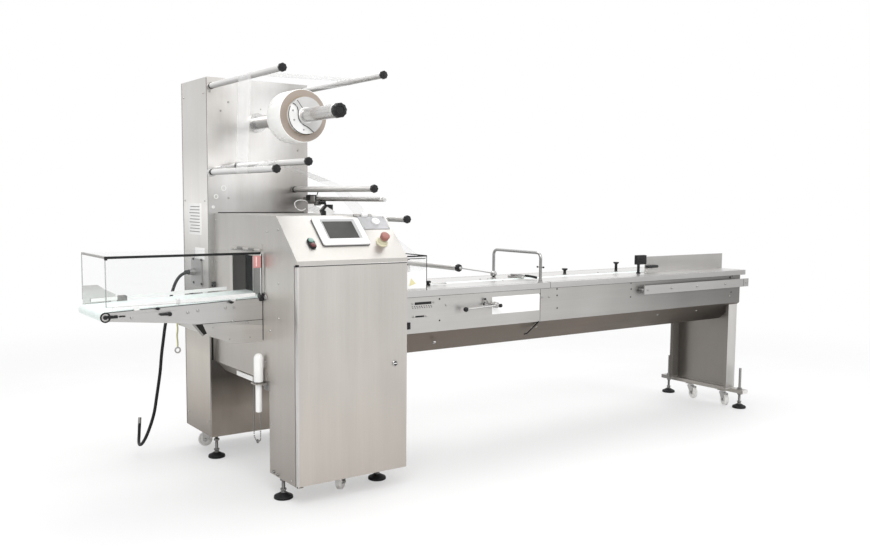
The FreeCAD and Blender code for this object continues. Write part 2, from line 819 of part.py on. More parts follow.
def discharge_conveyor():
    nose = (-d.nose_reach, d.discharge_front, d.nose_height)
    long = d.nose_reach + d.belt_inside
    belt_front = d.discharge_front + d.thick_sheet + d.belt_margin
    belt_back = d.discharge_back - d.thick_sheet - d.belt_margin
    inner = d.nose_radius - d.belt_thickness
    belt = cut(loop_solid(long, d.nose_radius, belt_front, belt_back),
               loop_solid(long, inner, belt_front, belt_back))
    part("discharge_belt", place(belt, (nose[0], belt_front, nose[2]), SLOPE_TURN))
    drop = d.nose_radius - 4
    rise = d.discharge_slope * d.nose_reach
    outline = [(-d.nose_reach, d.nose_height + drop), (-d.seat_gap, d.nose_height + drop + rise),
               (-d.seat_gap, d.plate_low), (-d.nose_reach, d.nose_height - drop)]
    plates = []
    for front in (d.discharge_front, d.discharge_back - d.thick_sheet):
        plates.append(join(profile("XZ", [outline], front, front + d.thick_sheet),
                           cylinder((nose[0], front, nose[2]), "y", drop, d.thick_sheet)))
    step = profile("XZ", [[(-d.nose_reach, d.nose_height), (-d.nose_reach + 132, d.nose_height),
                           (-d.nose_reach + 132, d.nose_height + 55), (-d.nose_reach + 96, d.nose_height + 72),
                           (-d.nose_reach + 60, d.nose_height + 97), (-d.nose_reach, d.nose_height + 97)]],
                   d.discharge_back - d.thick_sheet, d.discharge_back)
    plates[1] = join(plates[1], step)
    rollers = []
    lean = (1 + d.discharge_slope * d.discharge_slope).root()
    for along in (length(0), long):
        x = -d.nose_reach + along / lean
        z = d.nose_height + d.discharge_slope * along / lean
        front = belt_front if along is long else d.discharge_front + d.thick_sheet
        back = belt_back if along is long else d.discharge_back - d.thick_sheet
        rollers.append(cylinder((x, front, z), "y", inner - d.seat_gap, back - front))
    part("conveyor_plates", join(*plates, *rollers))


def guide_rails():
    bars = []
    for front in (d.discharge_front + 7, d.discharge_back - 13):
        low = d.nose_radius + 6
        bar = box((0, 0, low), (d.nose_reach - 60, length(6), low + 14))
        start = (-d.nose_reach + 30, front, d.nose_height + d.discharge_slope * 30)
        bars.append(place(bar, (start[0], start[1], start[2] + low), SLOPE_TURN))
    for x in (-540, -140):
        foot = d.nose_height + d.discharge_slope * (d.nose_reach + x)
        inner_front = d.discharge_front + d.thick_sheet + d.seat_gap
        inner_back = d.discharge_back - d.thick_sheet - d.seat_gap
        for front in (inner_front, inner_back - 5):
            bars.append(box((length(x), front, foot + 6), (length(x) + 20, front + 5, foot + 36)))
    part("guide_rails", join(*bars))


def reject_tray():
    slope = (d.nose_height - d.nose_radius + 4 - d.plate_low) / d.nose_reach
    top = d.plate_low - d.seat_gap
    wall = d.sheet
    outline = [(-d.seat_gap, top), (-d.seat_gap, d.tray_low), (-d.tray_flat, d.tray_low),
               (-d.tray_knee, d.tray_knee_height), (-d.tray_reach, top + slope * d.tray_reach)]
    inside = [(-d.seat_gap - wall, top + 9), (-d.seat_gap - wall, d.tray_low + wall),
              (-d.tray_flat, d.tray_low + wall), (-d.tray_knee + wall, d.tray_knee_height + wall),
              (-d.tray_reach + wall, top + slope * d.tray_reach + 9)]
    pan = profile("XZ", [outline], d.discharge_front, d.discharge_back)
    room = profile("XZ", [inside], d.discharge_front + wall, d.discharge_back - wall)
    part("reject_tray", cut(pan, room))


def knuckles(starts):
    return [cylinder((-d.hinge_reach, d.discharge_front + start, HINGE_HEIGHT), "y", d.hinge_radius,
                     d.knuckle_length - 1) for start in starts]


def fixed_knuckles():
    """Knuckles, their leaves and the pin that the discharge guard swings on."""
    pieces = knuckles((0, d.knuckle_length * 2, d.knuckle_length * 4))
    for start in (0, d.knuckle_length * 2, d.knuckle_length * 4):
        y = d.discharge_front + start
        pieces.append(box((-d.hinge_reach, y, HINGE_HEIGHT), (0, y + d.knuckle_length - 1,
                                                             HINGE_HEIGHT + d.hinge_radius)))
    pin = cylinder((-d.hinge_reach, d.discharge_front, HINGE_HEIGHT), "y", d.hinge_pin,
                   d.knuckle_length * 5 - 1)
    return pieces + [pin]


def discharge_guard():
    wall = d.thick_sheet
    front = d.discharge_front - d.guard_clearance - wall
    back = d.discharge_back + d.guard_clearance + wall
    left = -d.nose_reach
    right = -d.hinge_reach - d.hinge_radius - 2
    top = d.guard_low + d.guard_height
    side_right = -d.guard_clearance
    pieces = [box((left, front, d.guard_low), (side_right, front + wall, top)),
              box((left, back - wall, d.guard_low), (side_right, back, top)),
              box((left, front, top - wall), (right, back, top))]
    bores = []
    for start in (d.knuckle_length, d.knuckle_length * 3):
        y = d.discharge_front + start
        pieces.append(cylinder((-d.hinge_reach, y, HINGE_HEIGHT), "y", d.hinge_radius,
                               d.knuckle_length - 1))
        pieces.append(box((right - 30, y, top), (right, y + d.knuckle_length - 1, HINGE_HEIGHT)))
        pieces.append(box((right - 1, y, HINGE_HEIGHT - d.hinge_radius),
                          (-d.hinge_reach, y + d.knuckle_length - 1, HINGE_HEIGHT)))
        bores.append(cylinder((-d.hinge_reach, y, HINGE_HEIGHT), "y", d.hinge_pin + d.running_play,
                              d.knuckle_length))
    part("discharge_guard", cut(join(*pieces), *bores))


# ---------------------------------------------------------------------------------------------------------
# infeed conveyor, forming box and leg

def trough_outline(wall):
    """The folded V-bottomed section, drawn at a distance inside the outer faces."""
    inset = wall * 0.42
    return [(d.infeed_front + wall, d.infeed_top), (d.infeed_front + wall, d.infeed_side_low + inset),
            (d.keel_front + inset, d.infeed_keel + wall), (d.keel_back - inset, d.infeed_keel + wall),
            (d.infeed_back - wall, d.infeed_side_low + inset), (d.infeed_back - wall, d.infeed_top)]


def infeed_chassis():
    start = d.cabinet_width + d.seat_gap
    seam = 1.5
    sections = []
    for left, right in ((start, d.drive_end - seam / 2), (d.drive_end + seam / 2, d.infeed_end)):
        outer = profile("YZ", [trough_outline(length(0))], left, right)
        inside = profile("YZ", [trough_outline(d.sheet)], left + d.sheet, right - d.sheet)
        sections.append(cut(outer, inside))
    part("infeed_chassis", join(*sections))


def infeed_deck():
    start = d.cabinet_width + d.seat_gap
    middle = (d.infeed_front + d.infeed_back) / 2
    rails = []
    gap = 1
    for left, right in ((start, d.rail_joint - gap), (d.rail_joint, d.rail_end)):
        for front in (d.infeed_front - 4, d.infeed_back + 4 - d.rail_width):
            rails.append(box((left, front, d.infeed_top), (right, front + d.rail_width, d.deck_top)))
    part("infeed_rails", join(*rails))
    low = d.deck_top - d.deck_thickness
    inner_front = d.infeed_front - 4 + d.rail_width
    inner_back = d.infeed_back + 4 - d.rail_width
    decks = [box((start, inner_front, low), (d.rail_end, middle - d.belt_slot / 2, d.deck_top)),
             box((start, middle + d.belt_slot / 2, low), (d.rail_end, inner_back, d.deck_top))]
    part("infeed_deck", join(*decks))
    edge = d.belt_slot / 2 - 1
    part("infeed_belt", box((start, middle - edge, d.infeed_top), (d.rail_end - 10, middle + edge,
                                                                  d.deck_top - 1)))


def infeed_guides(caps):
    top = d.deck_top
    fence_back = d.fence_front + d.fence_sheet
    fence = box((d.fence_left, d.fence_front, top), (d.rail_end - 1, fence_back, top + d.fence_height))
    foot = box((d.fence_left, fence_back, top), (d.rail_end - 1, d.fence_front + d.fence_foot,
                                                 top + d.fence_sheet))
    part("guide_fence", join(fence, foot))
    knobs = []
    for x, tall in ((1925, 30), (2340, 52)):
        knobs.append(cylinder((x, d.knob_line, top), "z", d.knob_stem, length(tall) - 8))
        knobs.append(cylinder((x, d.knob_line, top + tall - 8), "z", d.knob_head, 8))
    x = d.clamp_across
    y = d.clamp_front
    knobs.append(box((x - 23, y, top + d.clamp_rise), (x + 55, y + 22, top + d.clamp_rise + d.clamp_height)))
    knobs.append(cylinder((x, y + 10, top), "z", d.knob_stem, d.clamp_rise))
    knobs.append(cylinder((x + 82, y + 16, top + 34), "x", d.knob_stem + 1, 90))
    knobs.append(cylinder((x, y + 16, top + 34), "x", d.knob_stem / 2, 82))
    front = d.discharge_front
    for share, z in ((0.695, 23), (0.224, 27)):
        knobs.append(cylinder((-d.nose_reach * share, front - 18, d.nose_height + z - 2), "y", d.knob_stem, 18))
    left = -d.nose_reach * 0.678
    knobs.append(box((left, front - 14, d.nose_height - 9), (left + 46, front, d.nose_height + 5)))
    part("black_knobs", join(*knobs, *caps))


def hold_down_hoop():
    rod = d.hoop_rod
    x = d.hoop_across
    near = d.hoop_front
    far = d.hoop_back
    low = d.deck_top
    top = d.deck_top + d.hoop_rise
    turn = d.hoop_bend
    bump = low + d.hoop_ball - d.seat_gap
    legs = [cylinder((x, near, low), "z", rod, d.hoop_rise - turn),
            cylinder((x, far, bump), "z", rod, top - turn - bump),
            cylinder((x, near + turn, top), "y", rod, far - near - turn * 2),
            bend((x, near + turn, top - turn), Vector(0, -1, 0), Vector(0, 0, 1), turn, rod),
            bend((x, far - turn, top - turn), Vector(0, 0, 1), Vector(0, 1, 0), turn, rod),
            ball((x, far, bump), d.hoop_ball)]
    part("hold_down_hoop", join(*legs))


def forming_box():
    edge = d.cabinet_width
    left = edge + d.former_left
    right = edge + d.former_right
    low = d.deck_top
    high = low + d.former_height
    pieces = []
    for front in (d.film_front - 8, d.film_front + d.film_width + 5):
        outline = [(left, low), (right, low), (right, low + d.former_lip), (edge + d.former_bend, high),
                   (left, high)]
        pieces.append(profile("XZ", [outline], front, front + d.former_sheet))
    part("forming_box", join(*pieces))
    wall = d.thick_sheet
    front = d.infeed_front
    back = d.former_guard_back
    high = low + d.former_guard_height
    left = edge + d.seat_gap
    right = edge + d.former_guard_reach
    guard = [box((left, front, low), (right, front + wall, high)),
             box((left, back - wall, low), (right, back, high)),
             box((left, front, high - wall), (right, back, high))]
    part("former_guard", join(*guard))


def infeed_leg():
    outer = d.infeed_end
    web = 3
    front = d.leg_front
    back = d.leg_back
    left = outer - d.leg_flange
    high = d.infeed_side_low
    channel = box((left, front, d.leg_low), (outer, back, high))
    room = box((left, front + web, d.leg_low), (outer - web, back - web, high))
    lips = box((left, front, d.leg_low), (left + web, back, high))
    lip_room = box((left, front + d.leg_lip, d.leg_low), (left + web, back - d.leg_lip, high))
    trough = profile("YZ", [trough_outline(length(0))], left, outer)
    leg = cut(join(cut(channel, room), cut(lips, lip_room)), trough)
    bar_x = d.infeed_end - 3
    bar = box((bar_x - d.bar_width / 2, d.bar_front, d.leg_low - d.bar_height),
              (bar_x + d.bar_width / 2, d.bar_back, d.leg_low))
    holes = [cylinder((bar_x, y, d.leg_low - d.bar_height), "z", d.stem_radius + d.seat_gap, d.bar_height)
             for y in (d.rod_front, d.rod_back)]
    part("leg_frame", join(leg, cut(bar, *holes)))


def side_bar():
    left = d.bar_left
    right = d.infeed_end - 2
    face = d.infeed_front - d.bar_stand
    bar = box((left, face - d.bar_thickness, d.infeed_top - d.bar_low_drop),
              (d.infeed_end + d.bar_right_reach, face, d.infeed_top - d.bar_top_drop))
    height = d.infeed_top - (d.bar_low_drop + d.bar_top_drop) / 2
    posts = [cylinder((x, face, height), "y", 8, d.bar_stand) for x in (left + 60, left + 440, right - 50)]
    part("side_bar", join(bar, *posts))


def crank_lever():
    x = d.crank_across
    z = d.crank_height
    boss = cylinder((x, d.infeed_front - 10, z), "y", 14, length(10) - d.seat_gap)
    hub = cylinder((x, d.infeed_front - 38, z), "y", 12, length(28))
    arm = box((x - d.crank_radius, d.infeed_front - 36, z - 7), (x, d.infeed_front - 28, z + 7))
    knob = ball((x - d.crank_radius, d.infeed_front - 32, z), d.crank_ball)
    part("crank_lever", join(boss, hub, arm, knob))


# ---------------------------------------------------------------------------------------------------------
# pull handle, cable and earth wire

def pull_handle():
    x = d.handle_across
    y = d.handle_front
    seat = d.handle_shelf + d.thick_sheet
    part("pull_handle", join(cylinder((x, y, d.handle_low), "z", d.handle_radius, seat - d.handle_low),
                             cylinder((x, y, seat), "z", d.handle_grip, 112),
                             cone((x, y, seat + 112), "z", d.handle_grip, d.handle_grip - 7, 12)))


def cable_gland():
    y = d.gland_line
    z = d.gland_height
    plate = box((COLUMN_LEFT - d.thick_sheet, y - d.gland_front_reach, z - d.gland_half),
                (COLUMN_LEFT, y + d.gland_back_reach, z + d.gland_half))
    nut = cylinder((COLUMN_LEFT - 18, y, z), "x", 17, 14)
    neck = cylinder((COLUMN_LEFT - 28, y, z), "x", 13, 10)
    bore = cylinder((COLUMN_LEFT - 28, y, z), "x", CABLE_RADIUS + d.seat_gap, 20)
    part("cable_gland", cut(join(plate, nut, neck), bore))


# Points of the supply cable from its gland to its bare end, and of the earth wire, in machine coordinates.
CABLE_RADIUS = 7.5
CABLE_ROUTE = [
    (-33, 1047, 893), (-70, 1047, 893), (-98, 1047, 879), (-120, 1048, 850), (-137, 1047, 808), (-151, 1046, 757),
    (-163, 1046, 700), (-177, 1047, 640), (-186, 1048, 572), (-197, 1048, 500), (-204, 1047, 422),
    (-216, 1046, 350), (-227, 1046, 284), (-236, 1047, 226), (-252, 1049, 172), (-268, 1054, 126),
    (-281, 1068, 88), (-288, 1094, 62), (-288, 1128, 54), (-280, 1160, 64), (-270, 1184, 92),
    (-264, 1196, 130), (-260, 1200, 170),
]
EARTH_RADIUS = 3.5
EARTH_ROUTE = [
    (-255, 654, 728), (-256, 655, 702), (-252, 656, 676), (-257, 656, 648), (-254, 655, 622), (-255, 654, 599),
]


def cord(points, radius):
    """A round tube along straight runs joined by tangent arcs, as large as the runs allow."""
    corners = [Vector(*point) for point in points]
    edges = []
    radii = []
    start = corners[0]
    for before, corner, after in zip(corners, corners[1:], corners[2:]):
        inward = (corner - before).normalize()
        outward = (after - corner).normalize()
        turn = inward.getAngle(outward)
        run = min((corner - before).Length, (after - corner).Length)
        reach = 0.45 * run
        bend = reach / math.tan(turn / 2)
        radii.append(bend)
        first = corner - inward * reach
        last = corner + outward * reach
        chord = (first + last) * 0.5
        centre = corner + (chord - corner).normalize() * math.hypot(bend, reach)
        middle = centre + (corner - centre).normalize() * bend
        edges.append(Part.LineSegment(start, first).toShape())
        edges.append(Part.Arc(first, middle, last).toShape())
        start = last
    edges.append(Part.LineSegment(start, corners[-1]).toShape())
    path = Part.Wire(edges)
    section = Part.Wire([Part.Circle(corners[0], corners[1] - corners[0], radius).toShape()])
    solid = path.makePipeShell([section], True, True)
    expected = math.pi * radius ** 2 * path.Length
    print("cord length %.1f, least bend radius %.1f, volume ratio %.4f"
          % (path.Length, min(radii), solid.Volume / expected))
    return solid


def cables():
    part("power_cable", feature(cord(CABLE_ROUTE, CABLE_RADIUS)))
    part("earth_wire", feature(cord(EARTH_ROUTE, EARTH_RADIUS)))
    ring = tube((length(-255), length(652.5), length(584)), "y", 14.5, 8, length(3))
    part("earth_ring", ring)


def build():
    control_cabinet()
    cabinet_door()
    touch_screen()
    panel_fittings(emergency_stop())
    rear_column()
    sealing_housing()
    levelling_feet()
    casters()
    caps = idler_rollers()
    roller_brackets()
    film_reel()
    film_web()
    photo_sensor()
    discharge_conveyor()
    guide_rails()
    reject_tray()
    discharge_guard()
    infeed_chassis()
    infeed_deck()
    infeed_guides(caps)
    hold_down_hoop()
    forming_box()
    infeed_leg()
    side_bar()
    crank_lever()
    pull_handle()
    cable_gland()
    cables()
    doc.recompute()


def check_document():
    for item in doc.Objects:
        if "Invalid" in item.State or "Error" in item.State:
            raise RuntimeError("%s (%s) did not rebuild: %s" % (item.Name, item.Label, item.State))
    for item in PARTS:
        if item.Shape.isNull() or not item.Shape.isValid():
            raise RuntimeError("%s has no valid shape" % item.Label)


def export():
    os.makedirs("parts", exist_ok=True)
    for item in PARTS:
        item.Shape.exportStep("parts/%s.step" % item.Label)


build()
check_document()
export()
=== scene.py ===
"""Looks of the horizontal flow wrapper: materials, small fittings, film, guards, cords, lights and camera.

Pieces are drawn in the machine coordinates of the CAD source, in millimetres: X from the control cabinet's
left side, Y from the front of its door and Z from the floor. at() turns them into the frame's metres.
"""
import bpy
import bmesh
import math
from mathutils import Matrix, Vector


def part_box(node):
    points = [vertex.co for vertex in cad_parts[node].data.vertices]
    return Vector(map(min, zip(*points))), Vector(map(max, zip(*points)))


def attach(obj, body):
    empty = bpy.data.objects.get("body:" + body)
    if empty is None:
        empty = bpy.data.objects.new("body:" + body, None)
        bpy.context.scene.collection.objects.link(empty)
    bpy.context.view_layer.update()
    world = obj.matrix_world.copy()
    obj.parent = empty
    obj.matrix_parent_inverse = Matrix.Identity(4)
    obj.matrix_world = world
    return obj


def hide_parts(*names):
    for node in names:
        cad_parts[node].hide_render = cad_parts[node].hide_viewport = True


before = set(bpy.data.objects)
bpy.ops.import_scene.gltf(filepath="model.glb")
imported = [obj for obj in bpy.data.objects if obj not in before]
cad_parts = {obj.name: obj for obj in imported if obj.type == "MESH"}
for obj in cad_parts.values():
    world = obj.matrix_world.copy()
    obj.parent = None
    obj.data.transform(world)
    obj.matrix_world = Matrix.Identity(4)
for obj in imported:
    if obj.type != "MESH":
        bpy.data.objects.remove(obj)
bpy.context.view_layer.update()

MIDDLE_X = 1210.5
MIDDLE_Y = 595.0
MM = 0.001
X, Y, Z = Vector((1, 0, 0)), Vector((0, 1, 0)), Vector((0, 0, 1))
GRAIN_CONTRAST = 0.035


def at(x, y, z):
    """A point given in machine millimetres, in the frame's metres."""
    return Vector(((x - MIDDLE_X) * MM, (y - MIDDLE_Y) * MM, z * MM))


def node_box(name):
    """Lowest and highest corner of a CAD node, in machine millimetres."""
    low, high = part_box(name)
    return [Vector((corner[0] / MM + MIDDLE_X, corner[1] / MM + MIDDLE_Y, corner[2] / MM))
            for corner in (low, high)]


# --------------------------------------------------------------------------------------------------------
# node helpers and materials

def new_material(name):
    material = bpy.data.materials.new(name)
    material.use_nodes = True
    tree = material.node_tree
    return material, tree, tree.nodes["Principled BSDF"]


def node(tree, kind, inputs=None, **settings):
    """A new shader node with its settings, and its inputs each linked to a socket or set to a value."""
    item = tree.nodes.new("ShaderNode" + kind)
    for name, value in settings.items():
        setattr(item, name, value)
    for name, value in (inputs or {}).items():
        if isinstance(value, bpy.types.NodeSocket):
            tree.links.new(value, item.inputs[name])
        else:
            item.inputs[name].default_value = value
    return item


def object_place(tree):
    return node(tree, "TexCoord").outputs["Object"]


def noise(tree, scale, detail=3.0):
    """Object-space noise stretched along the axes that have a small scale."""
    mapping = node(tree, "Mapping", {"Vector": object_place(tree), "Scale": scale})
    texture = node(tree, "TexNoise", {"Vector": mapping.outputs["Vector"], "Scale": 1.0, "Detail": detail})
    return texture.outputs["Fac"]


def ramp(tree, source, stops):
    item = node(tree, "ValToRGB", {"Fac": source})
    elements = item.color_ramp.elements
    while len(elements) < len(stops):
        elements.new(0.5)
    for element, (position, colour) in zip(elements, stops):
        element.position = position
        element.color = colour
    return item.outputs["Color"]


def spread(tree, source, low, high):
    return node(tree, "MapRange", {"Value": source, "To Min": low, "To Max": high}).outputs["Result"]


def multiply(tree, first, second, share=1.0):
    """One colour multiplied by another, wholly or by a share; a colour mix takes them at inputs 6 and 7."""
    item = node(tree, "Mix", {"Factor": share, 6: first, 7: second}, data_type="RGBA", blend_type="MULTIPLY")
    return item.outputs[2]


def bump(tree, shader, source, strength, distance=0.0004):
    item = node(tree, "Bump", {"Strength": strength, "Distance": distance, "Height": source})
    tree.links.new(item.outputs["Normal"], shader.inputs["Normal"])


def grade(tree, source, stops):
    """Painted light and shade: a soft change of tone by place on the machine (x, y, z, in metres) or by
    facing (nx, ny, nz).
    """
    vector = node(tree, "NewGeometry").outputs["Normal"] if source[0] == "n" else object_place(tree)
    along = node(tree, "SeparateXYZ", {0: vector}).outputs["xyz".index(source[-1])]
    low, high = stops[0][0], stops[-1][0]
    reach = node(tree, "MapRange", {"Value": along, "From Min": low, "From Max": high})
    tones = []
    for value, tone in stops:
        colour = tone if isinstance(tone, tuple) else (tone, tone, tone)
        tones.append(((value - low) / (high - low), (*colour, 1)))
    return ramp(tree, reach.outputs["Result"], tones)


def facing(tree, colour, normal, away, toward, source, stops):
    """Multiplies a colour by a graded tone of painted shade, only where the surface faces one way."""
    share = grade(tree, normal, sorted([(away, 0.0), (toward, 1.0)]))
    return multiply(tree, colour, grade(tree, source, stops), share)


def shades(colour, low, high=1.0):
    """The two ends of a colour ramp: the colour dimmed and brightened."""
    dark = tuple(part * low for part in colour)
    light = tuple(part * high for part in colour)
    return [(0.3, (*dark, 1)), (0.7, (*light, 1))]


WHITE = (1, 1, 1)


def steel(name, tone, along, roughness, painted_light_grades=(), warm=0.05, metallic=1.0, painted_side_shade=(), cloud=0.06):
    """Brushed stainless steel: fine grain along one axis, broad soft bands, stains, and painted light and
    shade graded by place and by facing.
    """
    material, tree, shader = new_material(name)
    fine = [1100.0, 1100.0, 1100.0]
    broad = [22.0, 22.0, 22.0]
    fine[along] = 6.0
    broad[along] = 0.7
    grain = noise(tree, fine)
    bands = noise(tree, broad, 2.0)
    stains = noise(tree, (3.1, 3.1, 2.3), 4.0)
    tint = (tone, tone * (1 - warm * 0.4), tone * (1 - warm))
    colour = ramp(tree, grain, shades(tint, 1 - GRAIN_CONTRAST, 1 + GRAIN_CONTRAST))
    colour = multiply(tree, colour, ramp(tree, bands, shades(WHITE, 0.95)))
    stain = (1 - cloud, 1 - cloud * 1.1, 1 - cloud * 1.2, 1)
    colour = multiply(tree, colour, ramp(tree, stains, [(0.35, stain), (0.65, (1, 1, 1, 1))]))
    # painted light and shade: tone graded by place, then by facing on the chosen sides
    for source, stops in painted_light_grades:
        colour = multiply(tree, colour, grade(tree, source, stops))
    for side in painted_side_shade:
        colour = facing(tree, colour, *side)
    tree.links.new(colour, shader.inputs["Base Color"])
    shader.inputs["Metallic"].default_value = metallic
    tree.links.new(spread(tree, bands, roughness - 0.06, roughness + 0.06), shader.inputs["Roughness"])
    bump(tree, shader, grain, 0.06)
    return material


def moulded(name, colour, roughness=0.45, grain=0.15, scale=900.0, vary=0.10, through=0.0, shine=0.5):
    """Moulded plastic or rubber with a fine skin texture and slight shade variation."""
    material, tree, shader = new_material(name)
    patches = noise(tree, (18, 18, 18))
    tree.links.new(ramp(tree, patches, shades(colour, 1 - vary, 1 + vary)), shader.inputs["Base Color"])
    tree.links.new(spread(tree, patches, roughness - 0.06, roughness + 0.08), shader.inputs["Roughness"])
    shader.inputs["Transmission Weight"].default_value = through
    shader.inputs["Specular IOR Level"].default_value = shine
    bump(tree, shader, noise(tree, (scale, scale, scale), 2.0), grain, 0.0003)
    return material


def clear(name, tint, alpha, roughness=0.04, along=(9, 40, 60)):
    """Clear sheet or film: mostly see-through with a glossy skin, faint scratches and cloudiness."""
    material, tree, shader = new_material(name)
    scratches = noise(tree, along, 5.0)
    tree.links.new(ramp(tree, scratches, shades(tint, 0.94)), shader.inputs["Base Color"])
    tree.links.new(spread(tree, scratches, roughness, roughness + 0.08), shader.inputs["Roughness"])
    tree.links.new(spread(tree, scratches, alpha * 0.8, alpha * 1.2), shader.inputs["Alpha"])
    shader.inputs["Specular IOR Level"].default_value = 0.35
    return material


def wound(name, colour):
    """The end of a wound roll: hundreds of film edges as fine rings round the shaft."""
    material, tree, shader = new_material(name)
    centre = at(REEL.x, 0, REEL.z)
    shift = node(tree, "Mapping", {"Vector": object_place(tree), "Location": (-centre.x, 0, -centre.z),
                                   "Scale": (1, 0, 1)})
    rings = node(tree, "TexWave", {"Vector": shift.outputs["Vector"], "Scale": 160.0, "Distortion": 1.5},
                 wave_type="RINGS", rings_direction="SPHERICAL")
    dark = tuple(part * 0.86 for part in colour) + (1,)
    tree.links.new(ramp(tree, rings.outputs["Fac"], [(0.2, dark), (0.8, (*colour, 1))]),
                   shader.inputs["Base Color"])
    shader.inputs["Roughness"].default_value = 0.4
    bump(tree, shader, rings.outputs["Fac"], 0.2)
    return material


REEL_LOW, REEL_HIGH = node_box("film_reel")
REEL = (REEL_LOW + REEL_HIGH) / 2
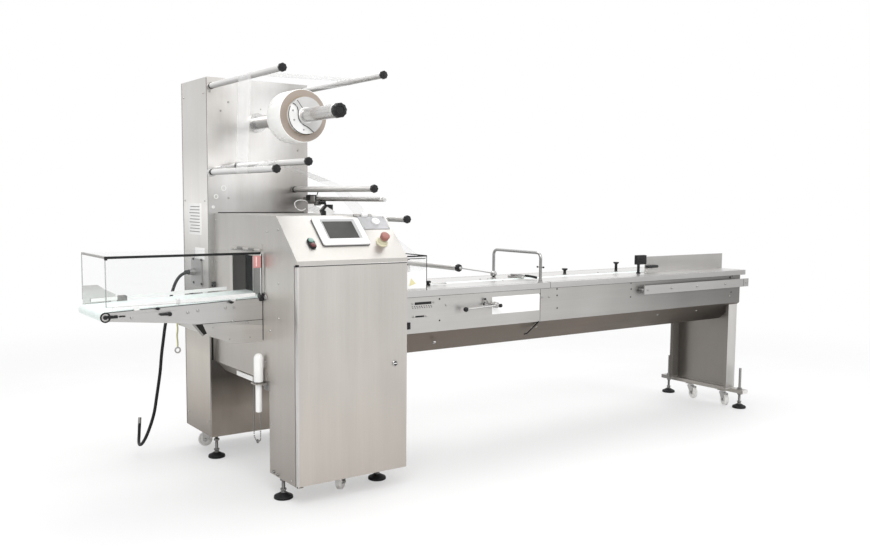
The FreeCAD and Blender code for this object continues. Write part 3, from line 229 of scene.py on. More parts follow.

# facing masks for painted shade on faces turned left, to the front and downward
LEFT = ("nx", -0.4, -0.9)
FRONT = ("ny", -0.4, -0.9)
UNDER = ("nz", -0.2, -0.55)
MATERIALS = {
    # painted shade: darker and warmer towards the floor, left faces shaded and lit in bands by height, front
    # faces darker towards the right
    "sheet": steel("sheet_steel", 0.60, 2, 0.42,
                   [("z", [(0.1, (0.90, 0.85, 0.81)), (0.6, (0.96, 0.93, 0.90)), (0.95, (1.0, 0.985, 0.965)),
                           (1.3, 1.0)]),
                    ("nz", [(0.2, 1.0), (0.65, 0.98)])],
                   painted_side_shade=[(*LEFT, "z", [(0.1, 0.75), (0.4, 0.86), (0.52, 0.88), (0.66, 1.06), (0.8, 1.28),
                                        (0.95, 1.12), (1.1, 0.95), (1.2, 0.90)]),
                          (*FRONT, "x", [(-1.21, 0.95), (-0.9, 0.93), (-0.72, 0.88)])]),
    # painted light and shade: dim and warm low down, a dark shadow band at 0.40 to 0.47 m, a bright band
    # near 1.4 m, darker towards the right edge
    "plate": steel("mounting_plate_steel", 1.0, 2, 0.34,
                   [("z", [(0.1, (0.50, 0.46, 0.42)), (0.24, (0.56, 0.52, 0.48)), (0.40, (0.16, 0.15, 0.14)),
                           (0.47, 0.17), (0.6, 0.48), (0.8, 0.50), (1.25, 0.62), (1.4, 1.0), (1.6, 0.94),
                           (1.75, 0.80), (1.85, 0.86)]),
                    ("x", [(-1.12, 1.0), (-0.95, 0.86), (-0.80, 0.52)])], warm=0.02, cloud=0.26),
    # painted light and shade: dark and warm at the foot, a dip near 0.8 m, brightest near 1.2 m
    "column": steel("column_steel", 1.0, 2, 0.40,
                    [("z", [(0.1, (0.26, 0.235, 0.215)), (0.25, (0.42, 0.39, 0.36)),
                            (0.5, (0.64, 0.62, 0.58)), (0.8, 0.40), (1.05, 0.80), (1.2, 0.96), (1.5, 0.70),
                            (1.85, 0.66)])]),
    # painted shade: darker towards the far end, and downward faces a dim brown standing for the shaded floor
    # they reflect
    "trough": steel("trough_steel", 0.62, 0, 0.40,
                    [("x", [(-0.65, 0.83), (-0.3, 0.82), (0.0, 0.80), (0.59, 0.70), (0.9, 0.59), (1.3, 0.41),
                           (1.9, 0.36)])],
                    painted_side_shade=[(*UNDER, "x", [(-0.41, (0.33, 0.27, 0.22)), (0.17, (0.33, 0.28, 0.23)),
                                          (0.59, (0.377, 0.298, 0.24)), (0.89, (0.40, 0.33, 0.27)),
                                          (1.29, (0.80, 0.70, 0.62)), (1.69, (0.40, 0.355, 0.32))])]),
    # painted light and shade: brighter below 0.12 m, front faces lit brighter, left faces shaded by depth
    "leg": steel("leg_steel", 0.36, 2, 0.42, [("z", [(0.118, 1.45), (0.125, 1.0)])],
                 painted_side_shade=[(*FRONT, "z", [(0.1, 1.5), (0.6, 1.75)]),
                        (*LEFT, "y", [(-0.08, (0.74, 0.71, 0.68)), (-0.01, (0.37, 0.35, 0.33)),
                                      (0.05, 0.44)])]),
    "fence": steel("fence_steel", 0.46, 0, 0.4),
    # painted shade: darker towards the tray's outer end
    "tray": steel("tray_steel", 0.70, 0, 0.36, [("x", [(-1.42, 0.72), (-1.32, 0.9), (-1.22, 1.0)])]),
    # painted light and shade: upward faces brighter, parts beyond y 645 mm brighter, front faces darker
    # towards the far end
    "bright": steel("bright_steel", 0.76, 0, 0.32,
                    [("nz", [(0.3, 0.85), (0.8, 0.96)]), ("y", [(0.040, 1.0), (0.050, 1.25)])], warm=0.03,
                    painted_side_shade=[(*FRONT, "x", [(-1.0, 0.86), (0.5, 0.83), (1.9, 0.75)])]),
    "tube": steel("tube_steel", 0.66, 1, 0.26, warm=0.02),
    # painted shade: the sleeve darker on its underside
    "sleeve": steel("sleeve_steel", 0.62, 1, 0.20, [("nz", [(-0.9, 0.25), (-0.3, 0.7), (0.2, 1.0)])],
                    warm=0.01),
    "plated": steel("plated_steel", 0.46, 2, 0.30, warm=0.03),
    "zinc": steel("zinc_plated_rod", 0.24, 2, 0.35, warm=0.03),
    # painted light and shade: the hoop brighter on top and darker beneath
    "hoop": steel("hoop_steel", 0.34, 2, 0.28, [("nz", [(-0.6, 0.6), (0.7, 1.5)])], warm=0.01),
    "gland": steel("gland_plate_steel", 0.40, 2, 0.45, warm=0.02),
    # painted shade: rollers and hubs darker on their undersides
    "aluminium": steel("roller_aluminium", 0.84, 1, 0.45, [("nz", [(-0.8, 0.55), (-0.1, 0.95), (0.3, 1.0)])],
                       warm=0.01),
    "chuck": steel("chuck_casting", 0.58, 1, 0.5, warm=0.01, metallic=0.3),
    "dark": steel("dark_steel", 0.03, 2, 0.4),
    "inner": steel("inner_steel", 0.30, 2, 0.4),
    "black": moulded("black_plastic", (0.011, 0.011, 0.012), 0.34, shine=0.25),
    "rubber": moulded("black_rubber", (0.012, 0.012, 0.013), 0.55, shine=0.25),
    "white": moulded("white_plastic", (0.86, 0.86, 0.85), 0.35, 0.05, vary=0.03),
    "bezel": moulded("bezel_plastic", (0.78, 0.78, 0.77), 0.40, 0.08, vary=0.03),
    # painted shade: the bezel's plastic in a darker grey for the shaded sloping bevel
    "bevel": moulded("bezel_bevel_shade", (0.46, 0.46, 0.46), 0.45, 0.08, vary=0.03),
    "insert": moulded("insert_plate", (0.42, 0.42, 0.43), 0.5, 0.1, vary=0.14),
    "label": moulded("bare_label", (0.88, 0.88, 0.87), 0.5, 0.05, vary=0.02),
    "tag": moulded("warning_tag", (0.56, 0.25, 0.24), 0.4, 0.05),
    "pale_yellow": moulded("bare_yellow_label", (0.72, 0.66, 0.36), 0.5, 0.05, vary=0.03),
    "red": moulded("red_plastic", (0.31, 0.125, 0.105), 0.45, 0.08, vary=0.06),
    "lens_green": moulded("green_lens", (0.22, 0.36, 0.31), 0.2, 0.03),
    "lens_red": moulded("red_lens", (0.12, 0.03, 0.03), 0.2, 0.03),
    "collar": moulded("collar_plastic", (0.60, 0.57, 0.40), 0.4, 0.05),
    "screen": moulded("screen_glass", (0.062, 0.062, 0.059), 0.3, 0.0, vary=0.1, shine=0.12),
    "wheel": moulded("wheel_plastic", (0.86, 0.85, 0.83), 0.25, 0.05, vary=0.04, through=0.08),
    "belt": moulded("belt_cloth", (0.83, 0.91, 0.885), 0.55, 0.35, 700.0, 0.03),
    "roll": moulded("film_roll", (0.92, 0.92, 0.90), 0.28, 0.08, vary=0.03),
    "face": wound("roll_face", (0.37, 0.31, 0.265)),
    "card": moulded("card_core", (0.36, 0.29, 0.22), 0.7, 0.3),
    "film": clear("film", (1.0, 1.0, 1.0), 0.40, 0.22, (60, 2, 2)),
    "thin_film": clear("thin_film", (1.0, 1.0, 1.0), 0.14, 0.22, (60, 2, 2)),
    # painted shadow: a dark rim standing for the shadow line along the screen bezel's left and lower edges
    "seal": moulded("painted_screen_shadow", (0.085, 0.085, 0.088), 0.5, shine=0.25),
    "guard": clear("guard_sheet", (0.40, 0.43, 0.43), 0.03),
    "edge": clear("guard_edge", (0.24, 0.26, 0.26), 0.40, 0.15),
    "cable": moulded("cable_jacket", (0.011, 0.011, 0.012), 0.5, shine=0.25),
    "earth": moulded("earth_jacket", (0.55, 0.54, 0.24), 0.45, 0.05),
}

NODE_MATERIALS = {
    "sheet": ["cabinet_shell", "cabinet_door", "side_walls", "housing_cover", "sealing_base"],
    "plate": ["mounting_plate"],
    "column": ["column_housing"],
    "trough": ["infeed_chassis"],
    "fence": ["guide_fence"],
    "tray": ["reject_tray"],
    "leg": ["leg_frame"],
    "bright": ["infeed_rails", "infeed_deck", "conveyor_plates", "forming_box", "side_bar",
               "panel_plate"],
    "tube": ["roller_shafts", "roller_brackets", "unwind_shaft"],
    "hoop": ["hold_down_hoop"],
    "gland": ["cable_gland"],
    "chuck": ["core_chuck"],
    "plated": ["caster_plates", "earth_ring"],
    "black": ["photo_sensor"],
    "white": ["pull_handle", "guide_rails"],
    "screen": ["touchscreen_glass"],
    "belt": ["discharge_belt", "infeed_belt"],
}


def dress(name, key):
    slots = bpy.data.objects[name].material_slots
    if slots:
        slots[0].material = MATERIALS[key]
    else:
        bpy.data.objects[name].data.materials.append(MATERIALS[key])


def dress_nodes():
    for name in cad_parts:
        if name.startswith("caster_fork"):
            dress(name, "plated")
        elif name.startswith("roller_") and name[7].isdigit():
            dress(name, "aluminium")
    for key, names in NODE_MATERIALS.items():
        for name in names:
            dress(name, key)


# --------------------------------------------------------------------------------------------------------
# piece builder

def circle(centre, axis, radius, count=32, lobes=0, depth=0.0):
    """Points of a circle about an axis, its radius waved by lobes for a fluted grip."""
    side = axis.orthogonal().normalized()
    other = axis.cross(side)
    points = []
    for index in range(count):
        angle = 2 * math.pi * index / count
        reach = radius * (1 + depth * math.cos(lobes * angle))
        points.append(centre + side * reach * math.cos(angle) + other * reach * math.sin(angle))
    return points


def rounded(face, box, radius, height, count=5):
    """Points of a rectangle with round corners on a face; box is (left, low, right, top)."""
    left, low, right, top = box
    corners = [(right - radius, top - radius, 0), (left + radius, top - radius, 1),
               (left + radius, low + radius, 2), (right - radius, low + radius, 3)]
    points = []
    for across, up, quarter in corners:
        for step in range(count + 1):
            angle = math.pi / 2 * (quarter + step / count)
            spot = (across + radius * math.cos(angle), up + radius * math.sin(angle))
            points.append(face.point(*spot, height))
    return points


class Face:
    """A flat face of the machine: an origin, a direction across and one up, and the way out of it."""

    def __init__(self, origin, across, up):
        self.origin = Vector(origin)
        self.across = Vector(across).normalized()
        self.up = Vector(up).normalized()
        self.out = self.across.cross(self.up)

    def point(self, across, up, out=0.0):
        return self.origin + self.across * across + self.up * up + self.out * out


class Piece:
    """One named object, drawn in machine millimetres, with its material and body.

    finish_pieces() turns all that are still open into objects.
    """
    still_open = []

    def __init__(self, name, key, body="frame", stands_for=()):
        self.name, self.key, self.body, self.stands_for = name, key, body, stands_for
        self.mesh = bmesh.new()
        self.still_open.append(self)

    def loft(self, loops, close_start=True, close_end=True):
        rows = [[self.mesh.verts.new(at(*point)) for point in loop] for loop in loops]
        for lower, upper in zip(rows, rows[1:]):
            for index in range(len(lower)):
                following = (index + 1) % len(lower)
                self.mesh.faces.new((lower[index], lower[following], upper[following], upper[index]))
        if close_start:
            self.mesh.faces.new(rows[0][::-1])
        if close_end:
            self.mesh.faces.new(rows[-1])
        return self

    def turned(self, start, axis, profile, count=32, lobes=0, depth=0.0):
        """A turned form: the profile lists (distance along the axis, radius)."""
        axis = Vector(axis).normalized()
        start = Vector(start)
        return self.loft([circle(start + axis * along, axis, max(radius, 0.05), count, lobes, depth)
                          for along, radius in profile])

    def ring(self, start, axis, profile, count=48):
        """A turned form whose profile closes on itself, such as a tyre or a bush."""
        axis = Vector(axis).normalized()
        loops = [circle(Vector(start) + axis * along, axis, radius, count) for along, radius in profile]
        return self.loft(loops + [loops[0]], False, False)

    def block(self, low, high, bevel=1.0):
        part = bmesh.new()
        bmesh.ops.create_cube(part, size=1.0)
        low, high = Vector(low), Vector(high)
        for vertex in part.verts:
            vertex.co = Vector([(low[i] + high[i]) / 2 + vertex.co[i] * (high[i] - low[i])
                                for i in range(3)])
        bmesh.ops.bevel(part, geom=part.edges[:], offset=bevel, segments=2, profile=0.5, affect="EDGES")
        fresh = {vertex: self.mesh.verts.new(at(*vertex.co)) for vertex in part.verts}
        for face in part.faces:
            self.mesh.faces.new([fresh[vertex] for vertex in face.verts])
        part.free()
        return self

    def slab(self, face, box, radius, low, high, bevel=1.0):
        """A plate with round corners and softened edges, lying on a face between two heights."""
        left, bottom, right, top = box
        inner = (left + bevel, bottom + bevel, right - bevel, top - bevel)
        small = max(radius - bevel, 0.1)
        return self.loft([rounded(face, inner, small, low), rounded(face, box, radius, low + bevel),
                          rounded(face, box, radius, high - bevel), rounded(face, inner, small, high)])

    def screws(self, points, axis, radius=5.0):
        """Domed screw heads with a socket, standing on a face."""
        profile = [(0, 1.0), (0.35, 1.0), (0.7, 0.8), (0.8, 0.5), (0.45, 0.42), (0.4, 0.05)]
        for point in points:
            self.turned(point, axis, [(along * radius, reach * radius) for along, reach in profile], 16)
        return self

    def nut(self, start, axis, radius, height):
        profile = [(0, radius * 0.92), (1, radius), (height - 1, radius), (height, radius * 0.92)]
        return self.turned(start, axis, profile, 6)

    def thread(self, start, end, radius, pitch=3.0):
        start, end = Vector(start), Vector(end)
        turns = int((end - start).length / pitch)
        profile = []
        for index in range(turns):
            profile += [(index * pitch, radius), (index * pitch + pitch * 0.55, radius - 0.9)]
        return self.turned(start, end - start, profile, 16)

    def rod(self, points, radius, count=16):
        """A straight or bent rod through the points."""
        points = [Vector(point) for point in points]
        loops = []
        for index, point in enumerate(points):
            before = points[max(index - 1, 0)]
            after = points[min(index + 1, len(points) - 1)]
            loops.append(circle(point, (after - before).normalized(), radius, count))
        return self.loft(loops)

    def ball(self, start, axis, radius, steps, count):
        """A ball that starts at a point and lies along an axis."""
        turns = [math.pi * step / steps for step in range(1, steps)]
        profile = [(radius - radius * math.cos(a), radius * math.sin(a)) for a in turns]
        return self.turned(start, axis, profile, count)

    def done(self):
        self.still_open.remove(self)
        mesh = bpy.data.meshes.new(self.name)
        bmesh.ops.recalc_face_normals(self.mesh, faces=self.mesh.faces[:])
        self.mesh.to_mesh(mesh)
        self.mesh.free()
        mesh.polygons.foreach_set("use_smooth", [True] * len(mesh.polygons))
        mesh.set_sharp_from_angle(angle=math.radians(32))
        mesh.materials.append(MATERIALS[self.key])
        item = bpy.data.objects.new(self.name, mesh)
        bpy.context.scene.collection.objects.link(item)
        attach(item, self.body)
        if self.stands_for:
            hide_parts(*self.stands_for)
        return item


def finish_pieces():
    for piece in list(Piece.still_open):
        piece.done()


# --------------------------------------------------------------------------------------------------------
# fittings on the control cabinet and its sloping panel

SHELL_HIGH = node_box("cabinet_shell")[1]
COLUMN_FRONT, COLUMN_LEFT = 855, -25
TROUGH_FRONT = 150
DECK_TOP = 842
PANEL_RUN = 185.0
LIP_TOP = 1006.0
PANEL_RISE = SHELL_HIGH.z - LIP_TOP
PANEL = Face((0, PANEL_RUN / 2, LIP_TOP + PANEL_RISE / 2), X, (0, PANEL_RUN, PANEL_RISE))
STOP = (435, -36)
BUTTONS = (99, -35)
WIDTH = SHELL_HIGH.x


def touch_screen():
    # painted shadow: a dark rim a little larger than the bezel at its left and bottom, standing for its
    # shadow line
    shadow_rim = Piece("screen_shadow_rim", "seal")
    shadow_rim.slab(PANEL, (146.8, -50.8, 373.4, 107.4), 11, 0, 3.4, 0.6)
    bezel = Piece("screen_bezel", "bezel", stands_for=["touchscreen_frame"])
    bezel.loft([rounded(PANEL, (149, -49, 373, 108), 10, 3), rounded(PANEL, (149, -49, 373, 108), 10, 8),
                rounded(PANEL, (151, -47, 371, 106), 8, 10), rounded(PANEL, (179, -19, 347, 97), 5, 11.6),
                rounded(PANEL, (181, -17, 345, 95), 4, 11.6)], close_end=False)
    # painted shade: the sloping bevel drawn in a darker grey than the bezel
    bevel = Piece("screen_bevel", "bevel")
    bevel.loft([rounded(PANEL, (180, -18, 346, 96), 4, 11.5), rounded(PANEL, (181, -17, 345, 95), 4, 11.9),
                rounded(PANEL, (191, -14, 334, 86), 2, 7.4), rounded(PANEL, (191, -14, 334, 86), 2, 5)],
               False, False)
    glass = Piece("screen_pane", "screen", stands_for=["touchscreen_glass"])
    glass.slab(PANEL, (188, -17, 337, 89), 2, 3.4, 7.2, 0.5)


def stop_button():
    across, up = STOP
    collar = Piece("stop_collar", "collar", stands_for=["panel_buttons"])
    profile = [(0, 27), (3, 27), (4.5, 25), (6, 21), (15, 19.5), (17, 18), (17.5, 9)]
    collar.turned(PANEL.point(across, up), PANEL.out, profile, 40)
    collar.turned(PANEL.point(across, up, 17), PANEL.out, [(0, 12), (8, 12)], 32)
    head = Piece("stop_head", "red", "stop_button", ["emergency_button"])
    head.turned(PANEL.point(across, up, 23), PANEL.out,
                [(0, 13), (1.5, 17), (4, 18.6), (17, 20.4), (21, 20), (24, 17), (25, 10), (25.2, 2)], 40)


def twin_button():
    across, up = BUTTONS
    bezel = Piece("button_bezel", "black")
    box = (across - 16, up - 29, across + 16, up + 29)
    bezel.slab(PANEL, box, 15.9, 0, 8, 2)
    for name, key, rise in (("start_lens", "lens_green", 13), ("halt_lens", "lens_red", -13)):
        lens = Piece(name, key)
        profile = [(0, 11.5), (3, 11.5), (5, 9.5), (6, 5)]
        lens.turned(PANEL.point(across, up + rise, 8), PANEL.out, profile, 28)


def panel_plate():
    plate = Piece("panel_insert", "insert", stands_for=["panel_plate"])
    plate.slab(PANEL, (380, 43, 515, 121), 4, 0, 2.4, 0.8)
    plate.screws([PANEL.point(*spot, 2) for spot in ((387, 50), (508, 50), (508, 114))], PANEL.out, 3)
    # painted shade: a dark strip standing for the shading along the insert plate's upper left
    strip = Piece("panel_insert_shade_strip", "inner")
    strip.slab(PANEL, (364, 119, 456, 134), 2, 0, 3.6, 0.6)
    socket = Piece("panel_socket", "white")
    socket.ring(PANEL.point(456, 86, 2), PANEL.out, [(0, 18.5), (6, 18.5), (8, 16.5), (8, 12.5), (2, 12)])
    socket.turned(PANEL.point(456, 86, 2), PANEL.out, [(0, 11.8), (3, 11.8), (3.4, 10)], 40)
    socket.slab(PANEL, (399, 113, 426, 133), 3, 2, 17, 2)
    socket.turned(PANEL.point(412, 130, 16), PANEL.out, [(0, 6), (6, 6), (8, 4)], 20)


def cabinet_trim():
    edge = Piece("cabinet_edge_beads", "bright")
    # the upright bead is rounded trim over the door gap, in brighter steel than the shell as a painted
    # highlight along the edge
    edge.block((-0.8, -0.8, 88), (6, 21, 982), 2)
    edge.block((-0.6, -0.8, 986), (WIDTH + 0.6, 1.6, 989.5), 0.7)
    black = Piece("door_pivot_caps", "black")
    black.turned((4, 6, 983), Z, [(0, 7), (1, 8), (8, 8), (9.5, 6)], 20)
    black.turned((4, 6, 88), Z, [(0, 6), (4, 7), (5, 6)], 20)
    black.block((2, 1.2, 983.6), (WIDTH - 2, 4, 987.4), 0.5)
    lock = Piece("door_lock", "plated", "door")
    lock.ring((461, 0, 554), -Y, [(0, 13), (3, 13), (4.5, 11.5), (4.5, 9.6), (2, 9.2), (0, 9.2)])
    slot = Piece("door_lock_core", "dark", "door")
    slot.turned((461, 0, 554), -Y, [(0, 9.1), (2.2, 9.1), (2.6, 8)], 24)
    bar = Piece("door_lock_bar", "aluminium", "door")
    bar.block((453, -4.4, 551.6), (469, -2.2, 556.4), 0.5)
    screws = Piece("cabinet_screws", "plated")
    screws.screws([(0, 274, 1115), (0, 166, 1127), (0, 60, 104), (0, 250, 700), (0, 250, 300)], -X, 4.5)
    low = Piece("cabinet_low_bolts", "zinc")
    low.screws([(0, 225, 101), (0, 187, 98)], -X, 7)


# --------------------------------------------------------------------------------------------------------
# film unwind, rollers and the column

IDLER_NODES = ["roller_1_upper_right", "roller_2_upper_left", "roller_3_dancer_left",
               "roller_4_dancer_right", "roller_5_lower", "roller_6_bracket", "roller_7_former"]
IDLER_TURNS = [1, 1, 1, -1, -1, 1, -1]
REEL_TURN = -1
SHOE = (716, 872, 12)
WEB_END = 600
THIN_BELOW = 1.33
FILM_FRONT, FILM_BACK = REEL_LOW.y, REEL_HIGH.y


def idlers():
    """Axis across and up, front, back and radius of every idler roller, from its CAD node."""
    found = []
    for name in IDLER_NODES:
        low, high = node_box(name)
        found.append(((low.x + high.x) / 2, (low.z + high.z) / 2, low.y, high.y, (high.x - low.x) / 2))
    return found


def roller_grips():
    """Lobed black end grips of the rollers, with the other black hand fittings of the same CAD node."""
    grips = Piece("black_fittings", "black", stands_for=["black_knobs"])
    for x, z, front, _, _ in idlers():
        profile = [(0, 14.6), (1, 16.6), (3, 17.2), (14, 17.2), (16, 15.6), (16.4, 10)]
        grips.turned((x, front - 1, z), -Y, profile, 48, 8, 0.045)
        grips.turned((x, front - 17.2, z), -Y, [(0, 8), (0.8, 6), (0.8, 3)], 24)
    for x, tall in ((1925, 30), (2340, 52)):
        profile = [(0, 9), (tall - 14, 8), (tall - 9, 13), (tall - 6, 17), (tall - 1, 17), (tall, 15)]
        grips.turned((x, 500, DECK_TOP), Z, profile, 36, 6, 0.03)
    grips.block((2287, 290, 892), (2365, 312, 946), 3)
    for rise in range(898, 942, 8):
        grips.block((2285, 288, rise), (2367, 291, rise + 4), 1)
    grips.turned((2310, 300, DECK_TOP), Z, [(0, 12), (6, 12), (8, 8), (50, 8)], 24)
    grips.turned((2392, 306, 876), X, [(0, 6), (4, 9), (84, 9), (90, 6)], 24)
    for x, z in ((-453, 816), (-146, 823)):
        grips.turned((x, 322, z), -Y, [(0, 5), (8, 5), (9, 6), (14, 6), (16, 4)], 24, 5, 0.12)
        grips.block((x - 9, 304, z - 3), (x + 9, 314, z + 3), 2)
    grips.turned((-443, 314, 791.5), X, [(0, 3.5), (3, 5), (34, 6), (36, 4)], 24)
    grips.turned((-410, 315, 790.8), X, [(0, 6.5), (3, 8.5), (11, 8.5), (14, 5)], 24)
    collars = Piece("roller_collars", "black")
    for x, z, _, back, _ in idlers():
        collars.ring((x, back, z), Y, [(0, 13), (1, 15), (11, 15), (12, 13), (12, 7), (0, 7)], 32)


def unwind():
    x, z = REEL.x, REEL.z
    wrap = Piece("film_wrap", "roll", "unwind", ["film_reel"])
    wrap.ring((x, FILM_FRONT, z), Y, [(0.4, 86), (0, 112.6), (0.8, 114.4), (2.5, 115), (127.5, 115),
                                      (129.4, 114.2), (130, 112), (130, 86)], 96)
    face = Piece("film_wrap_face", "face", "unwind")
    face.ring((x, FILM_FRONT - 0.5, z), Y, [(0, 85.5), (0, 112), (0.6, 112.4), (1.2, 112), (1.2, 85.5)], 96)
    core = Piece("card_core", "card", "unwind")
    profile = [(0, 80.5), (0, 85), (1, 86), (132, 86), (133, 85), (133, 80.5)]
    core.ring((x, FILM_FRONT - 2, z), Y, profile, 96)
    hub = Piece("chuck_hub", "aluminium", "unwind")
    hub.ring((x, FILM_FRONT - 26, z), -Y, [(0, 36), (2, 36), (3, 34), (3, 29.4), (0, 29.2)], 48)
    chuck_face(x, z)
    tube = Piece("unwind_tube", "sleeve")
    profile = [(0, 22), (0, 28), (2, 30), (342, 30), (345, 34), (348, 34), (348, 22)]
    tube.ring((x, FILM_BACK + 7, z), Y, profile, 48)
    grip = Piece("shaft_grip", "black", "unwind", ["shaft_knob"])
    profile = [(0, 24), (1, 28), (4, 30), (24, 30), (28, 28.5), (30, 25), (30.3, 17), (27, 15), (27, 4)]
    grip.turned((x, 70, z), -Y, profile, 60, 10, 0.04)
    sleeve = Piece("shaft_sleeve_ends", "aluminium", "unwind")
    sleeve.ring((x, 72, z), Y, [(0, 29.2), (2, 30.4), (10, 30.4), (12, 29.2), (12, 28), (0, 28)], 48)
    sleeve.ring((x, 348, z), Y, [(0, 29.2), (2, 31), (8, 31), (10, 29.2), (10, 28), (0, 28)], 48)


def chuck_face(x, z):
    """The core chuck's two cast halves, parted along an S, standing a little proud of the reel."""
    front = Face((x, FILM_FRONT, z), X, Z)
    reach = 80.0
    curve = [(-64, 48), (-53, 44), (-42, 33), (-38.5, 18), (-38.5, 0), (-36, -16), (-28, -29), (-14, -41),
             (6, -49), (20, -58), (36, -71)]
    start = math.atan2(curve[0][1], curve[0][0])
    finish = math.atan2(curve[-1][1], curve[-1][0])
    sweep = (start - finish) % (2 * math.pi)
    upper = [(reach * math.cos(finish + sweep * step / 24), reach * math.sin(finish + sweep * step / 24))
             for step in range(25)]
    lower = [(reach * math.cos(start + (2 * math.pi - sweep) * step / 16),
              reach * math.sin(start + (2 * math.pi - sweep) * step / 16)) for step in range(17)]
    for name, key, outline, height in (("chuck_half_right", "chuck", upper + curve, 26),
                                       ("chuck_half_left", "bezel", lower + curve[::-1], 22)):
        half = Piece(name, key, "unwind")
        half.loft([[front.point(*spot, rise) for spot in outline] for rise in (-4, height)])
    line = Piece("chuck_seams_and_lip_shadow", "dark", "unwind")
    line.rod([front.point(*spot, 26) for spot in curve], 1.5, 8)
    line.rod([front.point(*spot, 26) for spot in ((-42.5, 62), (-34, 52), (-24, 38), (-14, 28))], 1.3, 8)
    # painted shadow: a dark arc on the left and lower inner lip of the reel's face ring
    line.rod([front.point(82 * math.cos(a), 82 * math.sin(a), 22) for a in
              (math.pi * (0.86 + step * 0.05) for step in range(16))], 1.6, 8)
    bolts = Piece("chuck_bolts", "plated", "unwind")
    bolts.screws([front.point(*spot, 22) for spot in ((-62, 18), (-56, -22), (-10, -62))], front.out, 4)


def web_line():
    """Points along the film from the reel to the forming shoe: tangents between rollers and arcs on them."""
    path = [(REEL.x, REEL.z, (REEL_HIGH.z - REEL_LOW.z) / 2 + 0.6, REEL_TURN)]
    path += [(x, z, radius + 0.6, turn) for (x, z, _, _, radius), turn in zip(idlers(), IDLER_TURNS)]
    path += [(SHOE[0], SHOE[1], SHOE[2] + 0.6, -1), (WEB_END, SHOE[1] - SHOE[2] - 0.6, 0.0, 1)]
    angles = []
    for (x, z, radius, turn), (next_x, next_z, next_radius, next_turn) in zip(path, path[1:]):
        distance = math.hypot(next_x - x, next_z - z)
        lean = math.asin((turn * radius - next_turn * next_radius) / distance)
        angles.append(math.atan2(next_z - z, next_x - x) + lean)
    line = []
    for index, (x, z, radius, turn) in enumerate(path):
        arrive = angles[max(index - 1, 0)]
        leave = angles[min(index, len(angles) - 1)]
        swing = (turn * (leave - arrive)) % (2 * math.pi) if 0 < index < len(path) - 1 else 0.0
        steps = max(1, int(swing / 0.15))
        for step in range(steps + 1):
            side = arrive + turn * swing * step / steps - turn * math.pi / 2
            line.append(Vector((x + radius * math.cos(side), 0, z + radius * math.sin(side))))
            if swing == 0.0:
                break
    return line


def film():
    """The web as one thin stretched sheet, with slight cross ripples where it spans between rollers."""
    line = []
    corners = web_line()
    for start, end in zip(corners, corners[1:]):
        steps = max(1, int((end - start).length / 22))
        for step in range(steps):
            share = step / steps
            lift = (end - start).normalized().cross(Y) * math.sin(math.pi * share) if steps > 3 else Vector()
            line.append((start.lerp(end, share), lift))
    line.append((corners[-1], Vector()))
    mesh = bpy.data.meshes.new("film_ribbon")
    across = 12
    vertices, faces = [], []
    for row, (point, lift) in enumerate(line):
        for column in range(across + 1):
            share = column / across
            ripple = 0.9 * math.sin(share * 9.0 + row * 0.05) * math.sin(math.pi * share)
            spot = point + lift * ripple
            vertices.append(at(spot.x, FILM_FRONT + (FILM_BACK - FILM_FRONT) * share, spot.z))
    for row in range(len(line) - 1):
        for column in range(across):
            first = row * (across + 1) + column
            faces.append((first, first + 1, first + across + 2, first + across + 1))
    mesh.from_pydata(vertices, [], faces)
    mesh.polygons.foreach_set("use_smooth", [True] * len(mesh.polygons))
    mesh.materials.append(MATERIALS["film"])
    mesh.materials.append(MATERIALS["thin_film"])
    for face in mesh.polygons:
        spot = face.center
        if spot.z < THIN_BELOW:
            face.material_index = 1
    ribbon = bpy.data.objects.new("film_ribbon", mesh)
    bpy.context.scene.collection.objects.link(ribbon)
    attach(ribbon, "frame")
    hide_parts("film_web")


def column_details():
    screws = Piece("column_screws", "plated")
    spots = [(78, 1702), (-12, 1745), (478, 1745), (478, 1240), (40, 1660), (330, 1740), (440, 1490),
             (74, 1254)]
    screws.screws([(x, COLUMN_FRONT, z) for x, z in spots], -Y, 5)
    flange = [(-62, 30), (-58, -34), (20, 66), (64, -20)]
    screws.screws([(REEL.x + dx, COLUMN_FRONT, REEL.z + dz) for dx, dz in flange], -Y, 3.5)
    plugs = Piece("column_plugs", "label")
    for x, z, wide in ((50, 1300, 13), (12, 1260, 11), (-3, 1211, 7)):
        profile = [(0, wide), (1.5, wide), (2, wide - 1), (2, wide - 4), (0, wide - 4)]
        plugs.ring((x, COLUMN_FRONT, z), -Y, profile, 32)
    dark_line = Piece("column_seams_and_shadow_line", "dark")
    # painted shadow: this first strip stands for the shade in the gap between the housing cover's top and
    # the column
    dark_line.block((20, 852.6, 1183), (470, 855.4, 1187), 0.8)
    dark_line.block((-25.6, 862, 115), (-24.4, 865, 1808), 0.3)
    dark_line.block((-20, 852, 486), (-12, 855.4, 600), 0.8)
    back = Piece("column_back_edge", "inner")
    back.block((-26.2, 1184, 112), (-24.6, 1190.4, 1811), 0.5)
    end = Piece("column_end_labels", "label")
    end.block((-27, 952, 1076), (-24.8, 1116, 1226), 0.8)
    end.block((-26.2, 915, 960), (-24.8, 1038, 1015), 0.6)
    slots = Piece("column_end_slots", "inner")
    for step in range(9):
        slots.block((-27.6, 966, 1089 + step * 15), (-26.4, 1102 - (step % 3) * 8, 1093 + step * 15), 0.5)
    bolts = Piece("column_end_bolts", "plated")
    bolts.screws([(COLUMN_LEFT, y, z) for y in (900, 1160) for z in (1740, 1240, 640, 180)], -X, 4.5)
    catches = Piece("column_end_catches", "dark")
    catches.screws([(-28, y, z) for y in (950, 1053) for z in (842, 957)], -X, 6)
    catches.block((-16, 843, 834), (20, 856, 860), 3)
    catches.block((-38, 1072, 782), (-25, 1106, 800), 3)


